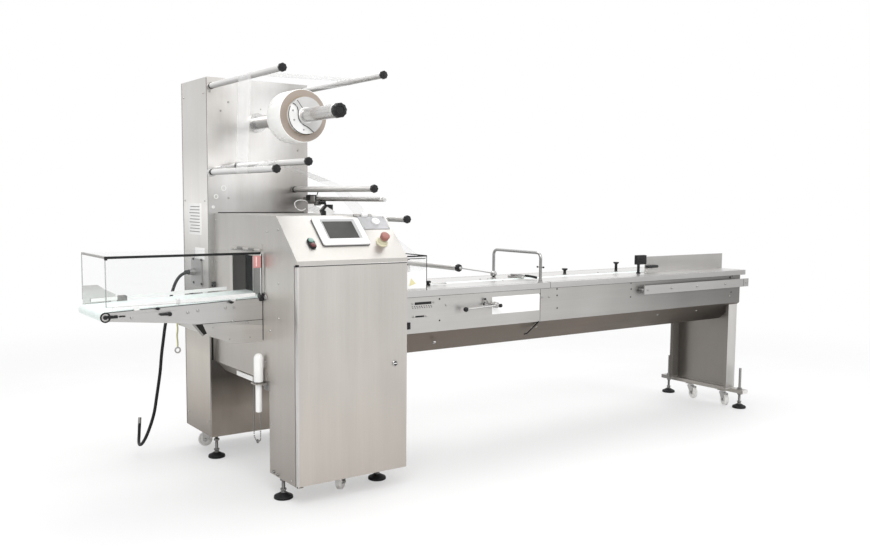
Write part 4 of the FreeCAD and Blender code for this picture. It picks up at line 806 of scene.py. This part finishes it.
def sensor():
    """Photo eye with its carrying tube, clamps and lead, and the film alarm behind the panel."""
    tube = Piece("sensor_tube", "sleeve")
    tube.ring((465, 122, 1253), Y, [(0, 9), (0, 10.6), (580, 10.6), (580, 9)], 32)
    cap = Piece("sensor_tube_cap", "aluminium")
    cap.ring((465, 108, 1253), Y, [(0, 7), (0, 9.8), (1, 10.8), (15, 10.8), (15, 9)], 32)
    clamps = Piece("sensor_clamps", "plated")
    clamps.block((447, 700, 1236), (483, 745, 1268), 3)
    clamps.block((450, 790, 1240), (480, 826, 1262), 3)
    clamps.screws([(465, 712, 1268), (465, 732, 1268)], Z, 5)
    eye = Piece("sensor_eye", "inner")
    eye.block((454, 690, 1220), (482, 722, 1238), 4)
    eye.block((452, 724, 1228), (478, 780, 1246), 3)
    black = Piece("sensor_bracket", "black")
    black.block((448, 700, 1245), (462, 790, 1272), 3)
    black.turned((470, 800, 1262), -Y, [(0, 9), (2, 11), (18, 11), (20, 8)], 24, 6, 0.06)
    black.rod([(468, 716, 1262), (474, 716, 1282), (482, 712, 1300)], 2.4, 10)
    lead = Piece("sensor_lead_clip", "white")
    turns = [(408 + 36 * math.cos(a), 760, 1221 + 25 * math.sin(a) + 6 * math.cos(a) ** 2) for a in
             (math.pi * (0.10 + 1.62 * step / 20) for step in range(21))]
    lead.rod([Vector(point) for point in turns], 2.6, 8)
    alarm = Face((0, 272, 0), X, Z)
    behind = Piece("film_alarm", "black")
    corners = [(270, 1225), (281, 1221), (265, 1204), (274, 1200), (274, 1182), (258, 1182), (250, 1203)]
    behind.loft([[alarm.point(*spot, height) for spot in corners] for height in (-8, 8)])
    gusset = Piece("alarm_gusset", "aluminium")
    corners = [(276, 1222), (322, 1198), (308, 1182), (268, 1182)]
    gusset.loft([[alarm.point(*spot, height) for spot in corners] for height in (-2, 2)])


# --------------------------------------------------------------------------------------------------------
# discharge conveyor, its guard and the housing's left side

SLOPE = 0.0353
NOSE = (-652, 322, 793)


def slope_at(x, height=0.0):
    """Height of a line along the discharge conveyor's slope."""
    return NOSE[2] + SLOPE * (x - NOSE[0]) + height


def discharge_details():
    belt_end = Piece("belt_nose_ring", "black")
    belt_end.ring((NOSE[0], 321.5, NOSE[2]), -Y, [(0, 19.5), (2, 20.4), (4, 19.5), (4, 15), (0, 15)], 40)
    belt_end.turned((NOSE[0], 321.5, NOSE[2]), -Y, [(0, 9), (5, 9), (6, 7)], 6)
    belt_end.block((-644, 315, 788), (-606, 321, 800), 2)
    belt_end.turned((-600, 318, slope_at(-600, -1)), X, [(0, 3), (22, 3)], 12)
    bright = Piece("conveyor_fasteners", "plated")
    bright.screws([(x, 322, z) for x, z in ((-553, 786), (-327, 791), (-285, 796), (-166, 800), (-130, 798),
                                            (-135, 741), (-72, 731))], -Y, 6)
    bright.nut((-622, 321.5, slope_at(-622, -1)), -Y, 8, 6)
    bright.screws([(-222, 322, 722), (-150, 322, 668), (-60, 322, 668)], -Y, 3.5)
    bright.block((-560, 321, slope_at(-470, 3)), (-380, 322.6, slope_at(-470, 4.2)), 0.3)
    far = Piece("far_product_stop", "inner")
    far.block((-516, 636, 815), (-474, 650, 840), 3)
    far.block((-510, 634, 834), (-480, 652, 842), 1)
    joint = Piece("guide_rail_joint", "aluminium")
    joint.block((-372, 327, slope_at(-372, 24)), (-356, 336.5, slope_at(-356, 46)), 1)
    joint.screws([(-364, 327, slope_at(-364, 31)), (-364, 327, slope_at(-364, 40))], -Y, 2.5)
    knob = Piece("rail_clamp_knob_and_dark_lines", "black")
    knob.turned((-4, 325, 836), -X, [(-4, 12), (0, 19), (9, 19), (12, 16), (12.4, 6)], 48, 6, 0.05)
    # painted shadow: a dark upright strip standing for the shade in the gap between the conveyor and the
    # wall
    knob.block((-1.4, 319.4, 652), (-0.2, 322.6, 822), 0.3)
    knob.block((-268, 320.4, slope_at(-652, -54)), (-2, 321.4, slope_at(-652, -52.2)), 0.3)
    bolt = Piece("rail_clamp_bolt", "plated")
    bolt.nut((0, 280, 840), -X, 9, 10)
    bolt.screws([(0, 168, 905), (0, 168, 760), (0, 300, 560), (0, 280, 505), (0, 830, 1150), (0, 830, 960),
                 (0, 830, 700)], -X, 4)
    gusset = Piece("tray_gusset", "dark")
    side = Face((0, 330, 0), X, Z)
    gusset.loft([[side.point(*spot, height) for spot in ((-298, 739), (-268, 739), (-250, 700), (-264, 694))]
                 for height in (0, 12)])
    strut = Piece("tray_strut", "inner")
    strut.loft([[side.point(*spot, height) for spot in ((-312, 742), (-302, 742), (-262, 692), (-270, 690))]
                for height in (10, 14)])
    # painted shadow: a dark strip on the wall standing for the guard hinge plate's shadow
    dark_line = Piece("hinge_shadow_line", "dark")
    dark_line.block((-1.2, 372, 1029), (-0.2, 650, 1034), 0.3)


def base_bracket():
    """The pale bracket and the dark recess that show under the housing's lower edge."""
    bracket = Piece("base_bracket", "label")
    bracket.block((-2, 436, 453), (6, 606, 474), 2)
    recess = Piece("base_bracket_recess", "inner")
    recess.block((-1.4, 258, 440), (1, 316, 482), 1)


def tunnel():
    """What shows through the discharge opening: black blocks of painted shade for the unlit interior, and
    the plate beside it.
    """
    # painted shade: black blocks standing for the unlit inside of the housing
    dark = Piece("opening_shade_block", "rubber")
    dark.block((60, 482, 798), (150, 640, 1004), 4)
    dark.block((52, 344, 792), (150, 480, 796), 1)
    plate = Piece("crimp_cover", "inner")
    plate.block((26, 340, 797), (30, 474, 1003), 1)
    bright = Piece("crimp_cover_edge", "bright")
    bright.block((24, 473, 797), (58, 478, 1003), 1.5)


def discharge_guard():
    low, high = node_box("discharge_guard")
    left, front, bottom = low
    right, back = -5.0, high.y
    top = 1027.0
    panes = Piece("guard_panes", "guard", "guard", ["discharge_guard"])
    panes.block((left + 4, front, bottom), (right - 3, front + 4, top - 4), 0.4)
    panes.block((left + 4, back - 4, bottom), (right - 3, back, top - 4), 0.4)
    panes.block((left + 8, front + 4, top - 4), (-16, back - 4, top), 0.4)
    strip = Piece("guard_rail_strip", "rubber", "guard")
    strip.block((left + 4, front - 0.5, top - 9), (right - 6, front + 5, top + 1), 1.5)
    strip.block((-9, front - 0.5, bottom), (-5, front + 5, top - 8), 1)
    strip.turned((left + 5, front + 2, top - 14), Z, [(0, 5), (2, 6), (14, 6), (15, 4)], 20)
    ends = Piece("guard_end_bars", "fence", "guard")
    ends.block((left, front + 3, top - 9), (left + 9, back - 3, top + 0.5), 1.5)
    edge = Piece("guard_cut_edges", "edge", "guard")
    edge.block((left, front - 0.3, bottom), (left + 4, front + 4.3, top - 12), 0.8)
    edge.block((left, back - 4.3, bottom), (left + 4, back + 0.3, top - 8), 0.8)
    edge.block((left + 4, front, bottom - 0.4), (right - 4, front + 4, bottom + 1), 0.4)
    bright = Piece("guard_hinge", "inner", "guard")
    for start in (382, 502):
        bright.ring((-8, start, 1035), Y, [(0, 5), (59, 5), (59, 2.2), (0, 2.2)], 24)
        bright.block((-44, start + 2, 1027), (-12, start + 57, 1029.4), 0.6)
        bright.block((-14, start, 1027), (-9, start + 59, 1033), 1)
        bright.screws([(-36, start + 14, 1029.4), (-36, start + 45, 1029.4)], Z, 3.5)
    tag = Piece("guard_tag", "tag", "guard")
    tag.block((-46, front - 1.4, 962), (-11, front, 1013), 0.5)
    line = Piece("guard_tag_edge", "label", "guard")
    line.block((-34, front - 1.8, 968), (-31, front - 0.8, 1008), 0.3)
    line.block((-13.5, front - 1.2, 846), (-11, front + 0.2, 1020), 0.3)


# --------------------------------------------------------------------------------------------------------
# infeed conveyor

def former_guard():
    low, high = node_box("former_guard")
    panes = Piece("former_panes", "guard", stands_for=["former_guard"])
    panes.block(low, (high.x, low.y + 4, high.z - 4), 0.4)
    panes.block((low.x, high.y - 4, low.z), (high.x, high.y, high.z - 4), 0.4)
    panes.block((low.x, low.y, high.z - 4), high, 0.4)
    edge = Piece("former_pane_edges", "dark")
    edge.block((low.x, low.y - 0.6, high.z - 6), (high.x, low.y + 3, high.z + 0.6), 0.8)
    edge.block((low.x, low.y + 5, high.z - 16), (high.x - 4, low.y + 7, high.z - 12), 0.5)
    edge.block((high.x - 2.4, low.y - 0.4, low.z), (high.x + 0.2, low.y + 2, high.z - 4), 0.5)
    edge.block((low.x, high.y - 3, high.z - 5), (high.x, high.y + 0.4, high.z + 0.4), 0.8)
    edge.block((high.x - 3, low.y, high.z - 4), (high.x + 0.4, high.y, high.z + 0.4), 0.8)
    bare = Piece("former_bare_label", "label")
    bare.block((560, 148.9, 852), (724, 150.2, 928), 0.4)
    yellow = Piece("former_bare_sign", "pale_yellow")
    yellow.turned((648, 148.6, 880), -Y, [(0, 21), (0.5, 21), (0.8, 19)], 3)


def trough_details():
    dark = Piece("trough_openings", "rubber")
    dark.block((664, 148.9, 777), (756, 150.6, 789), 0.8)
    dark.block((668, 148.9, 719), (716, 150.6, 727), 0.8)
    for start, z in ((650, 770), (654, 763)):
        for step in range(9):
            dark.turned((start + step * 13, 150.4, z), -Y, [(0, 2.4), (1.2, 2.4), (1.4, 1.6)], 12)
    for x, z in ((802, 797), (803, 697), (1539, 805), (1540, 772), (1542, 707), (2088, 776), (2085, 733),
                 (2086, 809), (2965, 712), (2969, 809), (1422, 786)):
        dark.turned((x, 150.4, z), -Y, [(0, 4.2), (1.1, 4.2), (1.4, 3)], 16)
    dark.turned((700, 150.4, 770), -Y, [(0, 2.4), (1.2, 2.4), (1.4, 1.6)], 12)
    dark.block((622, 146, 668), (640, 150.4, 700), 2)
    dark.block((1425.2, 149.6, 649), (1427.2, 150.6, 813), 0.3)
    plate = Piece("bare_name_plate", "label")
    plate.block((1114, 148.6, 704), (1420, 150.3, 788), 0.6)
    bolts = Piece("trough_screws", "plated")
    spots = [(1438, 767), (1485, 767), (840, 766), (652, 783), (768, 783), (658, 723), (726, 723),
             (2950, 690), (560, 800)]
    bolts.screws([(x, TROUGH_FRONT, z) for x, z in spots], -Y, 5)
    slope = Vector((0, -0.62, -0.78))
    bolts.screws([(x, 196, 615) for x in (1411, 1441, 2360, 2700)], slope, 7)
    bolts.screws([(809, 200, 589)], slope, 9)
    bolts.nut((3046.5, 176, 660), X, 8, 6)
    bolts.nut((3046.5, 600, 700), X, 8, 6)
    strap = Piece("seam_strap", "dark")
    strap.rod([(1417, 148, 648), (1385, 198, 584), (1368, 202, 580)], 3.2, 8)


def side_bar_details():
    low, high = node_box("side_bar")
    bolts = Piece("side_bar_bolts", "plated")
    bolts.screws([(x, low.y, 769) for x in (2182, 2380, 2600, 2860, 3060)], -Y, 6.5)
    spacers = Piece("side_bar_spacers", "zinc")
    for x in (2150, 2216):
        spacers.turned((x, 121, 769), Y, [(0, 7), (2, 9), (26, 9), (28, 7)], 24)
    spacers.turned((2150, 121, 769), -Y, [(0, 8), (3, 8), (4, 6)], 24)
    black = Piece("side_bar_end_marks", "black")
    black.block((3034, low.y - 0.5, low.z + 1), (3036, low.y + 1, high.z - 1), 0.3)
    black.block((2944, 148, 796), (2958, 151, 808), 1)


CRANK_AXIS = (1137.0, 752.0)


def crank():
    grip = Piece("crank_arm", "plated", "crank", ["crank_lever"])
    x, z = CRANK_AXIS
    grip.rod([(x - 6, 117, z), (1040, 117, 748), (940, 118, 743.5)], 5)
    profile = [(0.4, 11), (10, 11), (12, 14), (34, 14), (38, 11), (38, 6), (0.4, 6)]
    grip.ring((x - 18, TROUGH_FRONT, z), -Y, profile, 32)
    grip.turned((x - 18, 113, z), -Y, [(0, 8), (3, 8), (4, 6)], 6)
    ball = Piece("crank_ball", "black", "crank")
    ball.ball((920, 118, 743), X, 12, 14, 32)
    ball.turned((x - 10, 112, 749), X, [(0, 6), (2, 9), (14, 9), (17, 6)], 24)
    clamp = Piece("trough_clamp", "plated")
    clamp.ring((1079, TROUGH_FRONT, 765), -Y, [(0, 5), (0, 13), (4, 13), (5, 11), (5, 5)], 24)
    hook = [(1079, 144, 775), (1066, 141, 780), (1060, 140, 772), (1066, 140, 764), (1058, 140, 759)]
    clamp.rod(hook, 3, 8)
    tip = Piece("trough_clamp_tip", "black")
    tip.turned((1064, 140, 778), Z, [(0, 3), (2, 5), (7, 5), (9, 3)], 20)
    tip.turned((1056, 140, 763), -Z, [(0, 3), (2, 4.5), (7, 4.5), (9, 3)], 20)


def deck_details():
    bright = Piece("deck_clamps", "plated")
    bright.block((1498, 384, 842), (1524, 494, 852), 3)
    bright.rod([(1506, 350, 856), (1508, 400, 860), (1512, 480, 856)], 5)
    bright.rod([(1440, TROUGH_FRONT, 919), (1440, 186, 919)], 3)
    bright.rod([(884, 116, 940), (1436, 528, 862)], 3)
    bright.turned((881, 103, 940), -Y, [(0, 7), (8, 7), (10, 5)], 20)
    bright.rod([(868, 327, 853), (934, 288, 853), (950, 300, 850), (900, 340, 850)], 3)
    for x in (1280, 1330, 2140, 2620):
        bright.screws([(x, 330, DECK_TOP), (x, 452, DECK_TOP)], Z, 5)
    black = Piece("deck_clamp_grips", "black")
    black.turned((868, 333, DECK_TOP), Z, [(0, 9), (12, 9), (14, 12), (20, 12), (22, 9)], 24, 6, 0.06)
    black.rod([(1506, 358, 858), (1510, 344, 859), (1518, 292, 855), (1519, 284, 853)], 6.5)
    for y in (143, 186):
        black.turned((1440, y, 919), Y, [(0, 3), (1, 4.5), (7, 4.5), (8, 3)], 20)
    black.ball((1440, 540, DECK_TOP), Z, 17, 12, 28)
    foot = Piece("hoop_foot", "hoop")
    foot.ring((1440, 168, DECK_TOP), Z, [(0, 13), (3, 13), (5, 10), (14, 10), (15, 7.6), (0, 7.6)], 28)
    seams_and_shadow_line = Piece("rail_seams_and_shadow_line", "dark")
    seams_and_shadow_line.block((1488.6, 145.6, 813.4), (1490.4, 176, 842.5), 0.3)
    # painted shadow: this dark line stands for the shadow under the rail's front edge
    seams_and_shadow_line.block((560, 148.6, 811.2), (3040, 150.4, 813.4), 0.3)
    seams_and_shadow_line.block((560, 177, 841.4), (3080, 179, 842.3), 0.3)
    seams_and_shadow_line.block((560, 611.5, 841.4), (3080, 613.5, 842.3), 0.3)


# --------------------------------------------------------------------------------------------------------
# feet, casters and the pull handle

CABINET_FEET = [(16, 169.6, 87), (477, 169.6, 87), (15, 899, 111), (452, 899, 111), (452, 1140, 111)]
LEG_RODS = [(3045, 122), (3045, 666)]
CASTER_HEADINGS = {1: 220, 2: 150, 3: 242, 4: 250}


def feet():
    pads = Piece("foot_pads", "rubber", stands_for=["levelling_feet"])
    spots = [(x, y) for x, y, top in CABINET_FEET] + LEG_RODS
    for x, y in spots:
        profile = [(0, 37.5), (1.5, 40), (10, 40), (13, 38), (16, 31), (22, 20), (25, 15)]
        pads.turned((x, y, 0), Z, profile, 40)
        pads.ring((x, y, 3), Z, [(0, 39), (1, 40.6), (2.4, 40.6), (3.4, 39)], 40)
    stems = Piece("foot_stems", "zinc")
    for x, y, top in CABINET_FEET + [(x, y, 246) for x, y in LEG_RODS]:
        stems.turned((x, y, 24), Z, [(0, 12), (5, 12), (8, 9), (9, 8)], 24)
        stems.thread((x, y, 30), (x, y, top), 8)
        stems.nut((x, y, 34), Z, 13, 9)
        stems.nut((x, y, min(top, 93) - 11), Z, 14, 10)
    for x, y in LEG_RODS:
        stems.nut((x, y, 115.2), Z, 14, 10)
        stems.ring((x, y, 115), Z, [(0, 17), (1.6, 17), (1.6, 9), (0, 9)], 28)


def caster_wheels():
    for number, heading in CASTER_HEADINGS.items():
        low, high = node_box("caster_wheel_%d" % number)
        centre = (low + high) / 2
        turn = math.radians(heading)
        axis = Vector((-math.sin(turn), math.cos(turn), 0))
        wheel = Piece("caster_%d_tyre" % number, "wheel", "wheel_%d" % number, ["caster_wheel_%d" % number])
        tyre = [(0, 27), (0, 32), (2, 34.4), (5, 35), (19, 35), (22, 34.4), (24, 32), (24, 27),
                (20, 26), (4, 26)]
        wheel.ring(centre - axis * 12, axis, tyre, 48)
        disc = [(0, 13), (0, 24), (2, 26.4), (19, 26.4), (21, 24), (21, 13)]
        wheel.ring(centre - axis * 10.5, axis, disc, 48)
        hub = Piece("caster_%d_hub" % number, "aluminium", "wheel_%d" % number)
        profile = [(0, 6), (0, 11), (1.5, 12.6), (23.7, 12.6), (25.2, 11), (25.2, 6)]
        hub.ring(centre - axis * 12.6, axis, profile, 32)
        bolt = Piece("caster_%d_axle" % number, "plated", "swivel_%d" % number)
        for way in (1, -1):
            bolt.nut(centre + axis * way * 16, axis * way, 8, 6)


BEAD_RADIUS = 3.2


def handle():
    x, y = -25, 317
    grip = Piece("handle_grip", "white", stands_for=["pull_handle"])
    profile = [(0, 16), (2, 19), (6, 20), (104, 20), (112, 19), (120, 15), (125, 9), (126, 4)]
    grip.turned((x, y, 470), Z, profile, 36)
    grip.turned((x, y, 342), Z, [(0, 9), (3, 13), (8, 13.5), (128, 13.5)], 32)
    trim = Piece("handle_bands", "inner")
    trim.ring((x, y, 466), Z, [(4, 19), (5, 20.4), (9, 20.4), (10, 19)], 36)
    trim.block((x - 9, y - 15, 584), (x - 2, y - 9, 589), 1)
    trim.screws([(-46, 300, 470), (-46, 334, 470)], Z, 3.5)
    clip = Piece("chain_clip", "plated")
    clip.ring((x, y + 26, 464), Z, [(0, 9), (3, 9), (3, 6), (0, 6)], 24)
    clip.rod([(x, y + 4, 472), (x, y + 26, 474), (x, y + 46, 468), (x, y + 50, 458)], 2.2, 10)
    chain = Piece("bead_chain", "zinc")
    beads = [(x, y + 51, z) for z in range(456, 238, -8)]
    beads += [(x, y + 18 + 33 * math.cos(a), 236 - 24 * math.sin(a)) for a in
              (math.pi * step / 10 for step in range(1, 10))]
    beads += [(x, y - 15, z) for z in range(238, 342, 8)]
    for spot in beads:
        chain.ball(Vector(spot) - Z * BEAD_RADIUS, Z, BEAD_RADIUS, 6, 10)
    chain.ring((x, y + 16, 212), X, [(-2, 9), (2, 9), (2, 6.4), (-2, 6.4)], 20)


# --------------------------------------------------------------------------------------------------------
# stage, light and camera

WORLD_LIGHT = 0.75
FLOOR_REACH = 40.0
FADE_START, FADE_END = 2.6, 5.5
NEAR_GLOW = 0.42


def ray_mix(tree, seen, lit):
    """Shows one shader to camera, glossy and transmission rays, and lights things by another."""
    path = node(tree, "LightPath").outputs
    rays = {0: path["Is Camera Ray"], 1: path["Is Transmission Ray"]}
    direct = node(tree, "Math", rays, operation="MAXIMUM")
    all_seen = node(tree, "Math", {0: direct.outputs[0], 1: path["Is Glossy Ray"]}, operation="MAXIMUM")
    return node(tree, "MixShader", {"Fac": all_seen.outputs[0], 1: lit, 2: seen})


def studio_world():
    world = bpy.data.worlds.new("studio")
    bpy.context.scene.world = world
    world.use_nodes = True
    tree = world.node_tree
    seen = tree.nodes["Background"]
    seen.inputs["Color"].default_value = (1, 1, 1, 1)
    seen.inputs["Strength"].default_value = 1.0
    lit = node(tree, "Background", {"Color": (1, 1, 1, 1), "Strength": WORLD_LIGHT})
    mix = ray_mix(tree, seen.outputs[0], lit.outputs[0])
    tree.links.new(mix.outputs[0], tree.nodes["World Output"].inputs["Surface"])


def floor():
    """A wide pale floor that keeps the machine's shadow and fades into the white backdrop."""
    mesh = bpy.data.meshes.new("studio_floor")
    corners = [(x, y, 0) for x, y in ((-1, -1), (1, -1), (1, 1), (-1, 1))]
    mesh.from_pydata([[part * FLOOR_REACH for part in corner] for corner in corners], [], [(0, 1, 2, 3)])
    plane = bpy.data.objects.new("studio_floor", mesh)
    bpy.context.scene.collection.objects.link(plane)
    plane.location.z = -0.0005
    material, tree, shader = new_material("studio_floor")
    grain = noise(tree, (3, 3, 3), 2.0)
    shade = ramp(tree, grain, [(0.3, (0.86, 0.86, 0.86, 1)), (0.7, (0.88, 0.88, 0.88, 1))])
    tree.links.new(shade, shader.inputs["Base Color"])
    shader.inputs["Roughness"].default_value = 0.6
    glow = node(tree, "Emission", {"Strength": 1.0})
    far = node(tree, "VectorMath", {0: object_place(tree)}, operation="LENGTH")
    limits = {"From Min": FADE_START, "From Max": FADE_END, "To Min": NEAR_GLOW}
    fade = node(tree, "MapRange", {"Value": far.outputs["Value"], **limits}, interpolation_type="SMOOTHSTEP")
    seen = node(tree, "LightPath").outputs["Is Camera Ray"]
    factor = node(tree, "Math", {0: fade.outputs["Result"], 1: seen}, operation="MULTIPLY")
    mix = node(tree, "MixShader", {"Fac": factor.outputs[0], 1: shader.outputs[0], 2: glow.outputs[0]})
    tree.links.new(mix.outputs[0], tree.nodes["Material Output"].inputs["Surface"])
    mesh.materials.append(material)


def area_light(name, place, target, size, power):
    light = bpy.data.lights.new(name, "AREA")
    light.shape = "RECTANGLE"
    light.size, light.size_y = size
    light.energy = power
    lamp = bpy.data.objects.new(name, light)
    bpy.context.scene.collection.objects.link(lamp)
    lamp.location = place
    lamp.rotation_euler = (Vector(target) - Vector(place)).to_track_quat("-Z", "Y").to_euler()


def lights():
    area_light("key_softbox", (-2.6, -3.6, 4.2), (0, 0, 0.6), (3.0, 2.4), 130)
    area_light("fill_softbox", (3.2, -4.0, 2.6), (0.4, 0, 0.7), (2.6, 2.2), 45)
    area_light("top_softbox", (0.2, 0.8, 4.4), (0, 0, 0.6), (4.0, 2.4), 90)


def camera():
    """The photographer's place, in front of the discharge end and looking along the machine."""
    yaw, pitch, roll = math.radians(35.51), math.radians(5.07), math.radians(0.43)
    forward = Vector((math.sin(yaw) * math.cos(pitch), math.cos(yaw) * math.cos(pitch), -math.sin(pitch)))
    level = Vector((math.cos(yaw), -math.sin(yaw), 0))
    rise = level.cross(forward)
    across = level * math.cos(roll) + rise * math.sin(roll)
    upright = rise * math.cos(roll) - level * math.sin(roll)
    data = bpy.data.cameras.new("camera")
    data.sensor_width = 36.0
    data.lens = 37.11
    viewer = bpy.data.objects.new("camera", data)
    bpy.context.scene.collection.objects.link(viewer)
    turn = Matrix((across, upright, -forward)).transposed().to_4x4()
    viewer.matrix_world = Matrix.Translation(at(-1604.8, -3186.0, 1254.1)) @ turn
    bpy.context.scene.camera = viewer


# --------------------------------------------------------------------------------------------------------
# cords

CABLE_ROUTE = [
    (-33, 1047, 893), (-70, 1047, 893), (-98, 1047, 879), (-120, 1048, 850), (-137, 1047, 808),
    (-151, 1046, 757), (-163, 1046, 700), (-177, 1047, 640), (-186, 1048, 572), (-197, 1048, 500),
    (-204, 1047, 422),
    (-216, 1046, 350), (-227, 1046, 284), (-236, 1047, 226), (-252, 1049, 172), (-268, 1054, 126),
    (-281, 1068, 88), (-288, 1094, 62), (-288, 1128, 54), (-280, 1160, 64), (-270, 1184, 92),
    (-264, 1196, 130), (-260, 1200, 170),
]
EARTH_ROUTE = [
    (-255, 654, 728), (-256, 655, 702), (-252, 656, 676), (-257, 656, 648), (-254, 655, 622),
    (-255, 654, 599),
]


def cord_curve(name, route, radius, key):
    curve = bpy.data.curves.new(name, "CURVE")
    curve.dimensions = "3D"
    curve.bevel_depth = radius
    curve.bevel_resolution = 6
    curve.use_fill_caps = True
    spline = curve.splines.new("NURBS")
    spline.points.add(len(route) - 1)
    for point, place in zip(spline.points, route):
        point.co = (*at(*place), 1)
    spline.order_u = 3
    spline.use_endpoint_u = True
    spline.resolution_u = 8
    curve.materials.append(MATERIALS[key])
    cord = bpy.data.objects.new(name, curve)
    bpy.context.scene.collection.objects.link(cord)
    return cord


def cords():
    cable = cord_curve("supply_cable", CABLE_ROUTE, 0.0075, "cable")
    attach(cable, "frame")
    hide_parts("power_cable")
    relief = Piece("cable_relief", "rubber")
    profile = [(-2, 12.4), (4, 12.4), (6, 11), (22, 9.2), (24, 8.2), (24, 7.2), (-2, 7.2)]
    relief.ring((-53, 1047, 893), -X, profile, 32)
    relief = relief.done()
    tip = Piece("cable_tip", "inner")
    end = Vector(CABLE_ROUTE[-1])
    profile = [(-1, 3), (-1, 7.4), (0, 8), (40, 8), (41, 7.3), (41, 6.5)]
    tip.ring(end, Vector(CABLE_ROUTE[-2]) - end, profile, 24)
    tip = tip.done()
    earth = cord_curve("earth_lead", EARTH_ROUTE, 0.0035, "earth")
    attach(earth, "frame")
    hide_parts("earth_wire")


bpy.context.scene.view_settings.view_transform = "Standard"
dress_nodes()
studio_world()
floor()
lights()
camera()
cords()
for make in (touch_screen, stop_button, twin_button, panel_plate, cabinet_trim, roller_grips, unwind, film,
             column_details, sensor, discharge_details, base_bracket, tunnel, discharge_guard, former_guard,
             trough_details, side_bar_details, crank, deck_details, feet, caster_wheels, handle):
    make()
    finish_pieces()
